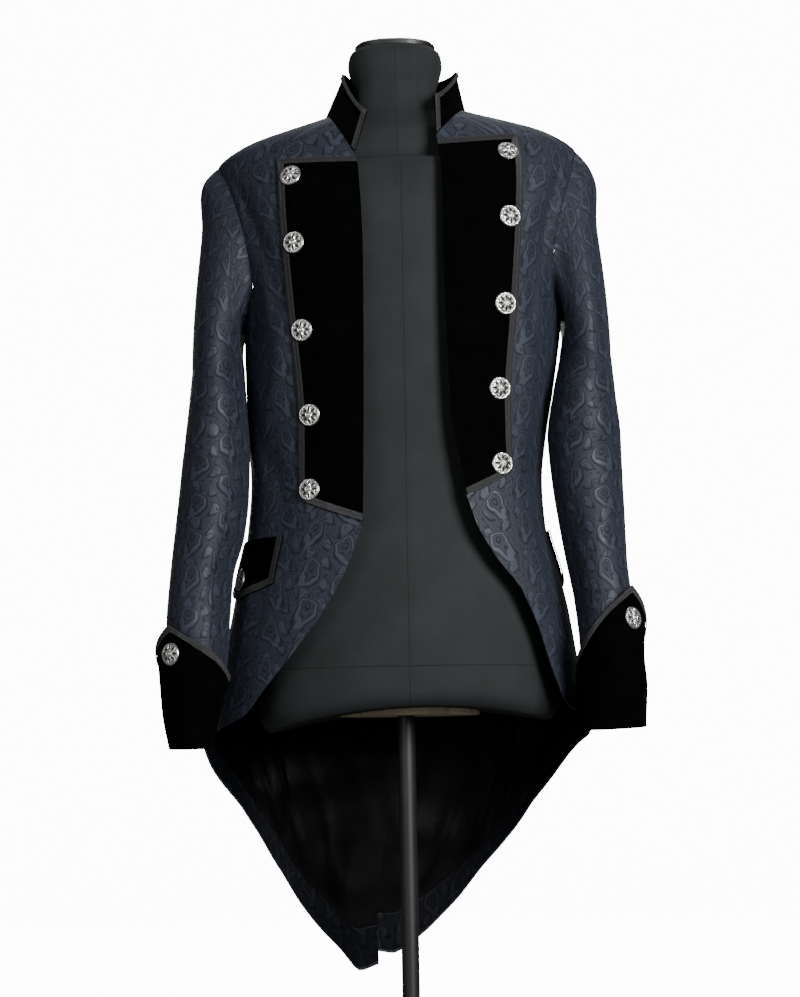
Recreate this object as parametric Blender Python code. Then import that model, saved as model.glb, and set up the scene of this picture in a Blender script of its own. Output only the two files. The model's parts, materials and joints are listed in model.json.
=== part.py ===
"""Cutaway frock coat with a pointed tail, worn by a limbless dress form on a short stand.

Metres, +Z up. The form faces -Y and the wearer's right is -X. The origin is the middle of the
stand's foot, on the floor. Cloth pieces are walls, each carried inwards from its outer points.
"""
from collections import namedtuple

import bmesh
import bpy
import numpy as np

# Driving sizes of the cloth and of its seams
CLOTH = 0.0020            # brocade with its interlining
VELVET = 0.0016           # velvet on lapels, collar, cuffs and flaps
SATIN = 0.0010            # tail lining
BRAID_THICK = 0.0012
BRAID_WIDE = 0.0085
BRAID_GAP = 0.0005        # braid over the velvet that it is sewn to
SEAM = 0.0003             # gap between pieces that are sewn together
REST = 0.0013             # gap between the shoulders of the coat and the form
SLACK = 0.0100            # how much further the form drops away under the shoulder tips
THROAT = 0.0120           # how much further the form lies inside the open front of the coat

# A level section is x = a sin(t)(1 + q cos2), y = -b cos(t)(1 + q sin2), with t from the front
SQUARENESS = 0.12
Ring = namedtuple("Ring", "height half_width front back")
COAT_RINGS = (
    Ring(0.040, 0.2290, 0.120, 0.172),
    Ring(0.200, 0.2290, 0.120, 0.172),
    Ring(0.346, 0.2285, 0.124, 0.170),
    Ring(0.420, 0.2160, 0.133, 0.163),
    Ring(0.500, 0.2010, 0.140, 0.152),
    Ring(0.550, 0.1905, 0.140, 0.142),
    Ring(0.600, 0.1785, 0.137, 0.128),
    Ring(0.660, 0.1745, 0.130, 0.110),
    Ring(0.700, 0.1775, 0.128, 0.105),
    Ring(0.760, 0.1840, 0.130, 0.108),
    Ring(0.815, 0.1890, 0.134, 0.115),
    Ring(0.870, 0.1930, 0.137, 0.124),
    Ring(0.930, 0.2010, 0.135, 0.132),
    Ring(0.980, 0.2090, 0.127, 0.133),
    Ring(1.015, 0.2145, 0.115, 0.128),
    Ring(1.034, 0.2175, 0.107, 0.122),
    Ring(1.046, 0.2190, 0.100, 0.118),
    Ring(1.054, 0.2175, 0.096, 0.115),
    Ring(1.061, 0.2115, 0.092, 0.112),
    Ring(1.068, 0.2010, 0.088, 0.109),
    Ring(1.077, 0.1830, 0.082, 0.104),
    Ring(1.0885, 0.1460, 0.075, 0.096),
    Ring(1.098, 0.1120, 0.068, 0.087),
    Ring(1.107, 0.0840, 0.062, 0.078),
    Ring(1.116, 0.0680, 0.054, 0.066),
)
SHOULDER_TIP = 1.054
CREST = 1.050             # above this the shoulders slope, SLOPE times as long as they rise
SLOPE = 2.8
CREST_SHAVE = 0.040       # how far the crest is rounded off in front of and behind the shoulder seam
CREST_WIDE = 0.022
CREST_SEAM = 0.1          # how soon the rounding sets in beside that seam
UNDERARM = 0.848
NECK_POINT = 1.107
NECK_FRONT = 1.0545

# The coat leans on its form: the wearer's left side is higher, and the tail swings to the right
LEAN = 0.030
LEAN_START = (0.30, 0.62)
DRIFT = 0.004
DRIFT_END = (1.02, 1.06)
BACK_SHARE = (1.2, 2.0)   # angles between which the swing of the tail sets in
Sway = namedtuple("Sway", "height across")
TAIL_SWAY = (
    Sway(0.050, -0.033), Sway(0.122, -0.036), Sway(0.196, -0.030), Sway(0.250, -0.022),
    Sway(0.346, -0.019), Sway(0.500, 0.0),
)

SIDE_SHARE = (0.75, 1.35)  # angles between which the swing of the waist sets in
SIDE_SWAY = (
    Sway(0.050, -0.0085), Sway(0.200, -0.0085), Sway(0.346, -0.0085), Sway(0.500, -0.0095),
    Sway(0.600, -0.0120), Sway(0.660, -0.0105), Sway(0.720, -0.0078), Sway(0.760, -0.0050),
    Sway(0.800, -0.0025), Sway(0.850, 0.0000), Sway(1.200, 0.0000),
)

# Soft folds: where each lies, its run, its width, its depth and its lean from upright
Fold = namedtuple("Fold", "angle height run wide deep lean")
SIDE_FOLDS = (
    Fold(54, 0.955, 0.075, 0.019, -0.0040, 14),
    Fold(64, 0.840, 0.070, 0.019, -0.0040, -10),
    Fold(47, 0.800, 0.060, 0.016, 0.0030, -16),
    Fold(60, 0.690, 0.050, 0.016, -0.0030, 30),
    Fold(118, 0.800, 0.090, 0.016, -0.0040, 12),
    Fold(140, 0.930, 0.080, 0.018, -0.0035, -14),
    Fold(104, 0.640, 0.045, 0.018, -0.0035, 40),
    Fold(150, 0.690, 0.040, 0.020, -0.0030, -55),
)
TAIL_WAVES = 2            # flutes of each tail, from the side to the vent
TAIL_WAVE_DEEP = 0.0060
FLUTE_LOW = 0.25          # the flutes are full below this height and gone above the next
FLUTE_TOP = 0.60
FLUTE_START = (1.35, 1.9) # angles between which they set in, behind the side seam
COAT_RADIUS = 0.18        # turns an angle round the coat into a length
SLEEVE_RADIUS = 0.055
NECK_RADIUS = 0.080
SHOULDER_RADIUS = 0.090
FOLDS_END = (1.02, 1.05)  # heights between which the folds fade out at the shoulder

# Edges and seams, as how far each lies from the coat's middle at a height
Reach = namedtuple("Reach", "height across")
PRINCESS_SEAM = (
    Reach(0.400, 0.152), Reach(0.456, 0.145), Reach(0.559, 0.132), Reach(0.635, 0.124),
    Reach(0.730, 0.124), Reach(0.830, 0.131), Reach(0.930, 0.140), Reach(1.020, 0.145),
    Reach(1.0885, 0.1455),
)
VENT = (Reach(0.05, 0.0003), Reach(0.30, 0.0005), Reach(0.62, 0.0003), Reach(1.2, 0.0))
TAIL_HEM = (
    Reach(0.346, 0.2262), Reach(0.282, 0.1835), Reach(0.239, 0.1530), Reach(0.196, 0.1205),
    Reach(0.159, 0.0960),
)
FINE = 361                # steps of the search for an angle
FORM_COLUMNS = 24         # columns round the form
LOW_ROWS = 12             # rows of a panel from its hem to the underarm
ARM_ROWS = 9              # rows from the underarm to the shoulder tip
SKIRT_ROWS = 5            # rows of the front below its lapel
LAPEL_ROWS = 11
YOKE_ROWS = 5             # rows of the front above its lapel
SIDE_COLUMNS = 5
SHOULDER_COLUMNS = 4
NECK_COLUMNS = 4
FRONT_FOOT = 0.112        # how far out the foot of the front panel starts, and how high
FRONT_FOOT_HEIGHT = 0.482
ARM_DEEP_FRONT = 0.068
ARM_DEEP_BACK = 0.062
ARM_SKEW = 0.25           # how far the armhole's widest place lies below its middle
HEM_FLANK = (84, 0.358)   # angle and height of the hem at the side
HEM_FINE = 12             # short steps between two rows of the hem, which is rounded over as many

# What differs between the two sides of the coat. sign is -1 on the wearer's right
Side = namedtuple("Side", "name sign lift edge cutaway tip flap_start cuff_point collar_corner")
RIGHT = Side(
    "right", -1, -0.0100,
    (Reach(0.602, 0.0500), Reach(0.740, 0.0470), Reach(0.917, 0.0450), Reach(1.070, 0.0520)),
    (Reach(0.602, 0.0500), Reach(0.5445, 0.0710), Reach(0.494, 0.1010), Reach(0.4496, 0.1366),
     Reach(0.411, 0.1700), Reach(0.381, 0.1900)),
    (Reach(0.122, 0.0670), Reach(0.098, 0.0450), Reach(0.070, 0.0260), Reach(0.080, 0.0005)),
    49, 0.492, 1.094,
)
LEFT = Side(
    "left", 1, 0.0100,
    (Reach(0.627, 0.0700), Reach(0.740, 0.0530), Reach(0.917, 0.0480), Reach(1.070, 0.0480)),
    (Reach(0.627, 0.0700), Reach(0.588, 0.0830), Reach(0.552, 0.1040), Reach(0.520, 0.1310),
     Reach(0.475, 0.1510), Reach(0.430, 0.1650), Reach(0.385, 0.1840)),
    (Reach(0.122, 0.0620), Reach(0.104, 0.0400), Reach(0.092, 0.0200), Reach(0.096, 0.0005)),
    84, 0.512, 1.114,
)

# Lapel: a broad revers buttoned back along its outer edge
LAPEL_TOP_INNER = 1.046
LAPEL_TOP_OUTER = 1.0525
LAPEL_CORNER = 0.6445
LAPEL_INSET = 0.0015
BUTTON_HEIGHTS = (1.029, 0.9465, 0.8440, 0.7465, 0.6600)
BUTTON_INSET = 0.0150
BUTTON_RADIUS = 0.0130
BUTTON_DOME = 0.0046
BUTTON_SIDES = 12
BUTTON_PROFILE = ((0.90, 0.0), (1.0, 0.30), (0.62, 1.0))   # shares of its radius and of its dome
BUTTON_REACH = 0.13       # how far out the lapels' buttons lie, for the lean of their heights

# Collar: a stand that leans in towards the neck
COLLAR_TOP = 1.166
COLLAR_WIDE = 0.0685
COLLAR_FRONT = 0.0800     # depth of its top before and behind the form's axis
COLLAR_BACK = 0.0740
COLLAR_DRIFT = 0.0060
COLLAR_OPENING = 36       # degrees from the front to the corner of its top
COLLAR_CORNER = (0.38, 1.75)   # angles between which its top rises from the corner
COLLAR_ROWS = 3
COLLAR_BRAID_GAP = 0.0013
COLLAR_BASE = 0.0009      # gap between the neckline and the collar

# Pocket flap: top edge, low corners and middle point
FLAP_TOP = 0.5930
FLAP_LOW = 0.5370
FLAP_POINT = 0.5220
FLAP_WIDE = 44            # degrees round the coat
FLAP_LIFT = 0.0012
FLAP_COLUMNS = 8
FLAP_ROWS = 4
FLAP_BUTTON_RISE = 0.024
FLAP_BACK_COLUMNS = 7     # columns of the back, next to the side seam, that a flap can reach over

# Inside of the tails, in rows of the back's grid from its hem and columns from its two edges
FACING_ROWS = (0.06, 0.40, 0.74)
LINING_START = 0.755
LINING_ROWS = 7
VENT_INSET = 0.01
FLANK_INSET = 0.04

# Sleeve sections below its head, level ellipses
Section = namedtuple("Section", "height outer inner deep middle")
SLEEVES = {
    "right": (
        Section(0.800, 0.2530, 0.1905, 0.076, -0.020),
        Section(0.750, 0.2573, 0.1870, 0.072, -0.034),
        Section(0.698, 0.2638, 0.1838, 0.067, -0.040),
        Section(0.650, 0.2685, 0.1850, 0.063, -0.047),
        Section(0.600, 0.2735, 0.1905, 0.060, -0.056),
        Section(0.550, 0.2780, 0.2035, 0.057, -0.068),
        Section(0.500, 0.2810, 0.2070, 0.055, -0.081),
        Section(0.440, 0.2785, 0.2110, 0.054, -0.092),
        Section(0.395, 0.2785, 0.2200, 0.054, -0.099),
        Section(0.354, 0.2751, 0.2290, 0.055, -0.104),
    ),
    "left": (
        Section(0.800, 0.2485, 0.1875, 0.076, -0.018),
        Section(0.750, 0.2514, 0.1765, 0.072, -0.038),
        Section(0.698, 0.2560, 0.1690, 0.067, -0.045),
        Section(0.650, 0.2567, 0.1724, 0.063, -0.050),
        Section(0.600, 0.2570, 0.1785, 0.060, -0.060),
        Section(0.550, 0.2572, 0.1860, 0.057, -0.071),
        Section(0.500, 0.2608, 0.1940, 0.055, -0.084),
        Section(0.440, 0.2618, 0.1980, 0.054, -0.100),
        Section(0.395, 0.2680, 0.1950, 0.054, -0.106),
        Section(0.354, 0.2690, 0.1915, 0.055, -0.108),
    ),
}
SLEEVE_FOLDS = (
    Fold(70, 0.712, 0.040, 0.020, -0.0035, 62),
    Fold(95, 0.668, 0.042, 0.018, -0.0040, 72),
    Fold(60, 0.752, 0.040, 0.020, 0.0028, 58),
    Fold(115, 0.628, 0.036, 0.018, -0.0030, 80),
    Fold(40, 0.560, 0.060, 0.020, -0.0026, 12),
    Fold(245, 0.700, 0.050, 0.020, -0.0035, 60),
    Fold(290, 0.655, 0.050, 0.020, -0.0030, 72),
    Fold(80, 0.900, 0.060, 0.020, -0.0030, 8),
)
HEAD_ROWS = 6
HEAD_SPRING = 0.0125      # how strongly the sleeve's head leaves the armhole outwards
HEAD_START = 0.00035
HEAD_LEAST = 2.24         # what that spring has besides, at the underarm too
HEAD_SINK = 0.020
HEAD_ARRIVE = -0.01
HEAD_PAD = 0.010          # how far the padded top stands out, at what height and how tall
HEAD_PAD_PLACE = (1.020, 0.035)
HEAD_PAD_START = 0.2
FRONT_SEAM = 3            # columns from the underarm to each sleeve seam
CUFF_ROWS = 4
CUFF_SEAT = 0.0005
CUFF_FLARE = 0.0080
CUFF_BOTTOM = 0.352
CUFF_LOW = 0.436
CUFF_POINT_TURN = 123     # degrees round the sleeve from its inner side by way of the front
CUFF_POINT_WIDE = 0.62    # half of the point's width, as a share of half a turn
CUFF_POINT_CURVE = 1.15
CUFF_OUTWARD = (0.62, 0.38)   # share of the flare all round, and what the outer side has besides
CUFF_BUTTON_ROW = 0.95    # rows below the cuff's edge

# The form, its neck and its stand
FORM_RINGS = (
    Ring(0.389, 0.1660, 0.104, 0.100),
    Ring(0.394, 0.1720, 0.110, 0.106),
    Ring(0.410, 0.1780, 0.114, 0.110),
    Ring(0.460, 0.1760, 0.117, 0.114),
    Ring(0.520, 0.1660, 0.116, 0.112),
    Ring(0.600, 0.1530, 0.108, 0.098),
    Ring(0.680, 0.1470, 0.104, 0.088),
    Ring(0.760, 0.1550, 0.110, 0.093),
    Ring(0.830, 0.1630, 0.118, 0.103),
    Ring(0.900, 0.1680, 0.122, 0.113),
    Ring(0.960, 0.1740, 0.118, 0.118),
    Ring(1.005, 0.1900, 0.106, 0.116),
    Ring(1.035, 0.2050, 0.094, 0.108),
)
RESTING_LEVELS = (1.054, 1.066, 1.077, 1.0885, 1.098)
NECK_RINGS = (
    Ring(1.107, 0.0600, 0.0460, 0.0600),
    Ring(1.124, 0.0520, 0.0430, 0.0560),
    Ring(1.140, 0.0500, 0.0430, 0.0550),
    Ring(1.155, 0.0540, 0.0470, 0.0590),
    Ring(1.170, 0.0574, 0.0500, 0.0620),
    Ring(1.183, 0.0555, 0.0480, 0.0600),
    Ring(1.190, 0.0480, 0.0410, 0.0530),
)
SLACK_END = 1.094
THROAT_SIDE = (0.5, 1.05) # angles between which the open front of the coat ends
CAP_THICK = 0.008
CAP_EDGE = 0.6            # share of the cap's height below its rounded edge
CAP_TOP = 0.8             # share of its width on top
RIM_DROP = 0.0126         # how far the form's rim falls from its middle to this far to each side
RIM_WIDE = 0.130
RIM_FADE = (0.395, 0.480)
RIM_SHARES = (0.75, 0.5, 0.25)
BOARD_THICK = 0.0075      # at its middle, under the arch of the form's underside
BOARD_SHARES = (0.5, 0.25)
POLE_RADIUS = 0.0105
FOOT_RADIUS = 0.150
FOOT_THICK = 0.014
FOOT_EDGE = 0.0056
STAND_SIDES = 32

Cloth = namedtuple("Cloth", "points normals grid")
Finish = namedtuple("Finish", "colour roughness metallic")
FINISHES = {
    "brocade": Finish((0.075, 0.085, 0.115, 1), 0.62, 0.0),
    "velvet": Finish((0.006, 0.006, 0.008, 1), 0.90, 0.0),
    "braid": Finish((0.045, 0.045, 0.052, 1), 0.70, 0.0),
    "satin": Finish((0.010, 0.010, 0.012, 1), 0.28, 0.0),
    "silver": Finish((0.72, 0.71, 0.68, 1), 0.28, 1.0),
    "form_cloth": Finish((0.055, 0.065, 0.066, 1), 0.80, 0.0),
    "board": Finish((0.62, 0.52, 0.36, 1), 0.65, 0.0),
    "stand": Finish((0.015, 0.015, 0.016, 1), 0.35, 0.6),
}


def smooth(table, value, at, key="height"):
    """A table's column at each height, along a curve that never overshoots its rows."""
    rows = sorted(table, key=lambda row: getattr(row, key))
    x = np.array([getattr(row, key) for row in rows])
    y = np.array([getattr(row, value) for row in rows])
    at = np.clip(np.asarray(at, float), x[0], x[-1])
    step = np.diff(x)
    slope = np.diff(y) / step
    tangent = np.zeros(len(x))
    tangent[0], tangent[-1] = slope[0], slope[-1]
    same_way = slope[:-1] * slope[1:] > 0
    harmonic = 2 * slope[:-1] * slope[1:] / np.where(same_way, slope[:-1] + slope[1:], 1.0)
    tangent[1:-1] = np.where(same_way, harmonic, 0.0)
    k = np.clip(np.searchsorted(x, at) - 1, 0, len(step) - 1)
    t = (at - x[k]) / step[k]
    return (
        y[k] * (1 + 2 * t) * (1 - t) ** 2 + tangent[k] * step[k] * t * (1 - t) ** 2
        + y[k + 1] * t ** 2 * (3 - 2 * t) - tangent[k + 1] * step[k] * t ** 2 * (1 - t)
    )


def ease(low, high, at):
    """0 below low, 1 above high and a soft step between."""
    t = np.clip((np.asarray(at, float) - low) / (high - low), 0, 1)
    return t * t * (3 - 2 * t)


def fold_relief(folds, angle, height, radius):
    """Sum of long soft ridges and troughs, in metres out of the surface."""
    relief = np.zeros(np.broadcast(angle, height).shape)
    for fold in folds:
        across = (angle - np.radians(fold.angle)) * radius
        up = height - fold.height
        lean = np.radians(fold.lean)
        along = up * np.cos(lean) + across * np.sin(lean)
        aside = across * np.cos(lean) - up * np.sin(lean)
        relief = relief + fold.deep * np.exp(-(along / fold.run) ** 2 - (aside / fold.wide) ** 2)
    return relief


def settle(points, back_share=0.0, side_share=0.0, steady=False):
    """Leans the clothes on their form, and swings the tail and the waist. Sleeves hang steady."""
    x, y, z = points[..., 0], points[..., 1], points[..., 2]
    sway = smooth(TAIL_SWAY, "across", z) * back_share + smooth(SIDE_SWAY, "across", z) * side_share
    leaned = LEAN * (1.0 if steady else ease(*LEAN_START, z))
    drift = DRIFT * (1 - ease(*DRIFT_END, z))
    return np.stack([x + drift + sway, y, z + leaned * x], axis=-1)


def ring_parts(angle, height):
    """Half-width and depth of the coat's section, and how each grows with the angle."""
    front = smooth(COAT_RINGS, "front", height)
    back = smooth(COAT_RINGS, "back", height)
    deep = np.where(np.cos(angle) >= 0, front, back)
    x = np.sin(angle) * (1 + SQUARENESS * np.cos(angle) ** 2)
    y = -np.cos(angle) * (1 + SQUARENESS * np.sin(angle) ** 2)
    away = np.cos(angle) ** 2
    shave = 1 - CREST_SHAVE * away / (away + CREST_SEAM) * np.exp(-((height - CREST) / CREST_WIDE) ** 2)
    return smooth(COAT_RINGS, "half_width", height) * x * shave, deep * y * shave


def coat_surface(sign, angle, height):
    """Outer face of the coat's body at an angle from the front and a height."""
    angle, height = np.broadcast_arrays(np.asarray(angle, float), np.asarray(height, float))
    x, y = ring_parts(angle, height)
    relief = fold_relief(SIDE_FOLDS, angle, height, COAT_RADIUS) * (1 - ease(*FOLDS_END, height))
    flutes = np.sin(2 * TAIL_WAVES * (np.pi - angle)) * TAIL_WAVE_DEEP
    loose = (1 - ease(FLUTE_LOW, FLUTE_TOP, height)) * ease(*FLUTE_START, angle)
    relief = relief + flutes * loose
    radius = np.maximum(np.hypot(x, y), 1e-6)
    x, y = x * (1 + relief / radius), y * (1 + relief / radius)
    return settle(np.stack([sign * x, y, height], axis=-1), ease(*BACK_SHARE, angle), ease(*SIDE_SHARE, angle))


def coat_cloth(sign, grid):
    """Outer face of the coat over a grid of angles and heights, with its outward normals."""
    angle, height = grid[..., 0], grid[..., 1]
    small = 1e-3
    along = coat_surface(sign, angle + small, height) - coat_surface(sign, angle - small, height)
    up = coat_surface(sign, angle, height + small) - coat_surface(sign, angle, height - small)
    normals = np.cross(along, up) * sign
    normals /= np.linalg.norm(normals, axis=-1, keepdims=True)
    return Cloth(coat_surface(sign, angle, height), normals, grid)


def angle_for(kind, at, height, back=False):
    """The angle at which the level section has a given reach in x, or a given depth in y."""
    fine = np.linspace(np.pi / 2, np.pi, FINE) if back else np.linspace(0, np.pi / 2, FINE)
    if kind == "depth":
        fine = np.linspace(0, np.pi, 2 * FINE)
    at, height = np.broadcast_arrays(np.asarray(at, float), np.asarray(height, float))
    found = np.empty(at.shape)
    for k in np.ndindex(at.shape):
        x, y = ring_parts(fine, np.full(fine.shape, height[k]))
        values = y if kind == "depth" else x
        order = np.argsort(values, kind="stable")
        found[k] = np.interp(at[k], values[order], fine[order])
    return found


def even(points, count, sign=1):
    """A boundary in angle and height, resampled to count steps of even length on the coat."""
    points = np.asarray(points, float)
    world = coat_surface(sign, points[:, 0], points[:, 1])
    run = np.concatenate([[0], np.cumsum(np.linalg.norm(np.diff(world, axis=0), axis=1))])
    at = np.linspace(0, run[-1], count + 1)
    return np.stack([np.interp(at, run, points[:, k]) for k in (0, 1)], axis=1)


def nudge(points, sign, angle_by=0.0, height_by=0.0):
    """Moves a boundary by real distances across the coat, so that sewn edges keep their gap."""
    small = 1e-3
    points = np.array(points, float)
    here = coat_surface(sign, points[:, 0], points[:, 1])
    turn = np.linalg.norm(coat_surface(sign, points[:, 0] + small, points[:, 1]) - here, axis=1)
    rise = np.linalg.norm(coat_surface(sign, points[:, 0], points[:, 1] - small) - here, axis=1)
    points[:, 0] += angle_by * small / turn
    points[:, 1] += height_by * small / rise
    return points


def unroll(points, back=False):
    """Stretches heights above the crest of the shoulder to the length of its slope, or undoes that."""
    share = 1 / SLOPE if back else SLOPE
    points = np.array(points, float)
    above = np.maximum(points[..., 1] - CREST, 0.0)
    points[..., 1] += above * (share - 1)
    return points


def patch(bottom, top, left, right, reach=1):
    """Fills four boundaries in angle and height with a grid: rows go up, columns go across.

    Each row runs straight from left to right. The bends of the bottom and top boundaries fade
    away from them, faster with a larger reach.
    """
    bottom, top, left, right = (unroll(edge) for edge in (bottom, top, left, right))

    def shares(one, other):
        runs = [np.concatenate([[0], np.cumsum(np.hypot(np.diff(e[:, 0]) * COAT_RADIUS, np.diff(e[:, 1])))])
                for e in (one, other)]
        return sum(run / run[-1] for run in runs) / 2
    u = shares(bottom, top)[:, None]
    v = shares(left, right)[:, None, None]
    bends = [edge - ((1 - u) * edge[0] + u * edge[-1]) for edge in (bottom, top)]
    rows = (1 - u) * left[:, None] + u * right[:, None]
    return unroll(rows + (1 - v) ** reach * bends[0] + v ** reach * bends[1], back=True)


def on_cloth(cloth, across, along, lift=0.0):
    """Points read from a cloth's own grid at parts of its columns and rows, moved out by lift."""
    across, along = np.broadcast_arrays(np.asarray(across, float), np.asarray(along, float))
    i = np.clip(np.floor(along).astype(int), 0, cloth.points.shape[0] - 2)
    j = np.clip(np.floor(across).astype(int), 0, cloth.points.shape[1] - 2)
    v, u = (along - i)[..., None], (across - j)[..., None]

    def read(grid):
        low = (1 - u) * grid[i, j] + u * grid[i, j + 1]
        high = (1 - u) * grid[i + 1, j] + u * grid[i + 1, j + 1]
        return (1 - v) * low + v * high
    return read(cloth.points) + read(cloth.normals) * np.broadcast_to(lift, across.shape)[..., None]


def cut_from(cloth, across, along, lift=0.0):
    """A new cloth on part of another one, its outer face moved out by lift."""
    points = on_cloth(cloth, across, along, lift)
    normals = on_cloth(cloth, across, along, np.add(lift, 1.0)) - points
    return Cloth(points, normals / np.linalg.norm(normals, axis=-1, keepdims=True), None)


def find_on(cloth, angle, height):
    """Column and row of a cloth's grid at an angle and a height of the coat."""
    columns = np.arange(cloth.grid.shape[1])
    rows = np.arange(cloth.grid.shape[0])
    angles = [np.interp(height, cloth.grid[:, j, 1], cloth.grid[:, j, 0]) for j in columns]
    steps = [np.interp(height, cloth.grid[:, j, 1], rows) for j in columns]
    order = np.argsort(angles)
    across = float(np.interp(angle, np.array(angles)[order], columns[order]))
    return across, float(np.interp(across, columns, steps))


def move_in(cloth, across, along, width):
    """Moves grid places by a real width towards given sides: each place is (at, direction)."""
    (across, side), (along, rise) = across, along
    small = 0.05
    beside = on_cloth(cloth, across + small, along) - on_cloth(cloth, across - small, along)
    above = on_cloth(cloth, across, along + small) - on_cloth(cloth, across, along - small)
    wide, tall = (np.linalg.norm(step, axis=-1) / (2 * small) for step in (beside, above))
    return across + side * width / wide, along + rise * width / tall


def with_normals(points, closed=False):
    """A cloth from a grid of points round the form's or a sleeve's own axis."""
    if closed:
        wide = np.roll(points, -1, axis=1) - np.roll(points, 1, axis=1)
    else:
        wide = np.gradient(points, axis=1)
    normals = np.cross(wide, np.gradient(points, axis=0))
    normals /= np.linalg.norm(normals, axis=-1, keepdims=True)
    outward = points - points.mean(axis=1, keepdims=True)
    if (normals * outward).sum() < 0:
        normals = -normals
    return Cloth(points, normals, None)


def coat_collection():
    """The collection that holds every piece."""
    found = bpy.data.collections.get("frock_coat_on_form")
    if found is None:
        found = bpy.data.collections.new("frock_coat_on_form")
        bpy.context.scene.collection.children.link(found)
    return found


def material(finish):
    """The Principled material of a finish, made once."""
    found = bpy.data.materials.get(finish)
    if found is None:
        found = bpy.data.materials.new(finish)
        found.use_nodes = True
        shader = found.node_tree.nodes["Principled BSDF"]
        shader.inputs["Base Color"].default_value = FINISHES[finish].colour
        shader.inputs["Roughness"].default_value = FINISHES[finish].roughness
        shader.inputs["Metallic"].default_value = FINISHES[finish].metallic
    return found


def add_piece(name, bm, finish):
    """Links a finished mesh as one named piece with its material."""
    bmesh.ops.recalc_face_normals(bm, faces=bm.faces[:])
    mesh = bpy.data.meshes.new(name)
    bm.to_mesh(mesh)
    bm.free()
    piece = bpy.data.objects.new(name, mesh)
    coat_collection().objects.link(piece)
    piece.data.materials.append(material(finish))
    piece.data.shade_smooth()
    piece.data.set_sharp_from_angle(angle=0.9)
    return piece


def wall(name, cloth, thick, finish, lift=0.0, closed=False):
    """A wall of cloth: its outer face is the cloth moved out by lift, its inner face lies behind it."""
    rows, columns = cloth.points.shape[:2]
    outer = cloth.points + cloth.normals * lift
    inner = cloth.points + cloth.normals * (lift - thick)
    bm = bmesh.new()
    out = [[bm.verts.new(p) for p in row] for row in outer]
    inn = [[bm.verts.new(p) for p in row] for row in inner]
    spans = columns if closed else columns - 1
    for i in range(rows - 1):
        for j in range(spans):
            k = (j + 1) % columns
            bm.faces.new((out[i][j], out[i][k], out[i + 1][j]))
            bm.faces.new((out[i][k], out[i + 1][k], out[i + 1][j]))
            bm.faces.new((inn[i][j], inn[i + 1][j], inn[i][k]))
            bm.faces.new((inn[i][k], inn[i + 1][j], inn[i + 1][k]))
    for j in range(spans):
        k = (j + 1) % columns
        bm.faces.new((out[0][k], out[0][j], inn[0][j], inn[0][k]))
        bm.faces.new((out[-1][j], out[-1][k], inn[-1][k], inn[-1][j]))
    if not closed:
        for i in range(rows - 1):
            bm.faces.new((out[i][0], out[i + 1][0], inn[i + 1][0], inn[i][0]))
            bm.faces.new((out[i + 1][-1], out[i][-1], inn[i][-1], inn[i + 1][-1]))
    return add_piece(name, bm, finish)


def stack(name, rings, finish, low_tip=None, high_tip=None):
    """A closed solid lofted through rings of equal counts, each end flat or fanned to its tip."""
    bm = bmesh.new()
    levels = [[bm.verts.new(p) for p in ring] for ring in rings]
    for low, high in zip(levels, levels[1:]):
        for j in range(len(low)):
            k = (j + 1) % len(low)
            bm.faces.new((low[j], low[k], high[k], high[j]))
    for end, tip in ((levels[0][::-1], low_tip), (levels[-1], high_tip)):
        if tip is None:
            bm.faces.new(end)
            continue
        middle = bm.verts.new(tip)
        for j, corner in enumerate(end):
            bm.faces.new((corner, end[(j + 1) % len(end)], middle))
    return add_piece(name, bm, finish)


def armhole(branch):
    """Half of the armhole from the underarm to the shoulder tip, in angle and height."""
    turn = np.linspace(np.pi, 0, ARM_ROWS + 1)
    middle, half = (SHOULDER_TIP + UNDERARM) / 2, (SHOULDER_TIP - UNDERARM) / 2
    height = middle + half * np.cos(turn)
    deep = ARM_DEEP_BACK if branch == "back" else -ARM_DEEP_FRONT
    depth = deep * np.sin(turn - ARM_SKEW * np.sin(turn))
    depth[[0, -1]] = 0.0
    return np.stack([angle_for("depth", depth, height), height], axis=1)


def line_at(table, heights, back=False):
    """A table of reaches as a boundary in angle and height."""
    return np.stack([angle_for("reach", smooth(table, "across", heights), heights, back), heights], axis=1)


def princess_line(side, foot):
    """The seam from the hem, under the lapel's outer edge, to the shoulder seam."""
    corner, top = LAPEL_CORNER + side.lift, LAPEL_TOP_OUTER + side.lift
    stretches = (
        (foot, corner, SKIRT_ROWS), (corner, top, LAPEL_ROWS), (top, PRINCESS_SEAM[-1].height, YOKE_ROWS),
    )
    parts = [even(line_at(PRINCESS_SEAM, np.linspace(low, high, 30)), count)
             for low, high, count in stretches]
    parts[-1][-1, 0] = np.pi / 2
    return np.concatenate([parts[0], parts[1][1:], parts[2][1:]])


def hem_line(side):
    """The lower edge all round one side, from the lapel's foot to the tail's vent."""
    front = [(angle_for("reach", r.across, r.height), r.height) for r in side.cutaway]
    flank = [(np.radians(HEM_FLANK[0]), HEM_FLANK[1])]
    tail = [(angle_for("reach", r.across, r.height, True), r.height) for r in TAIL_HEM + side.tip]
    rows = np.array([(float(a), float(h)) for a, h in front + flank + tail])
    fine = np.linspace(0, len(rows) - 1, HEM_FINE * len(rows))
    soft = np.stack([np.interp(fine, np.arange(len(rows)), rows[:, k]) for k in (0, 1)], axis=1)
    kernel = np.hanning(HEM_FINE + 1) / np.hanning(HEM_FINE + 1).sum()
    padded = np.pad(soft, ((HEM_FINE // 2, HEM_FINE // 2), (0, 0)), mode="edge")
    rounded = np.stack([np.convolve(padded[:, k], kernel, "valid") for k in (0, 1)], axis=1)
    rounded[0], rounded[-1] = rows[0], rows[-1]
    return rounded


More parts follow.
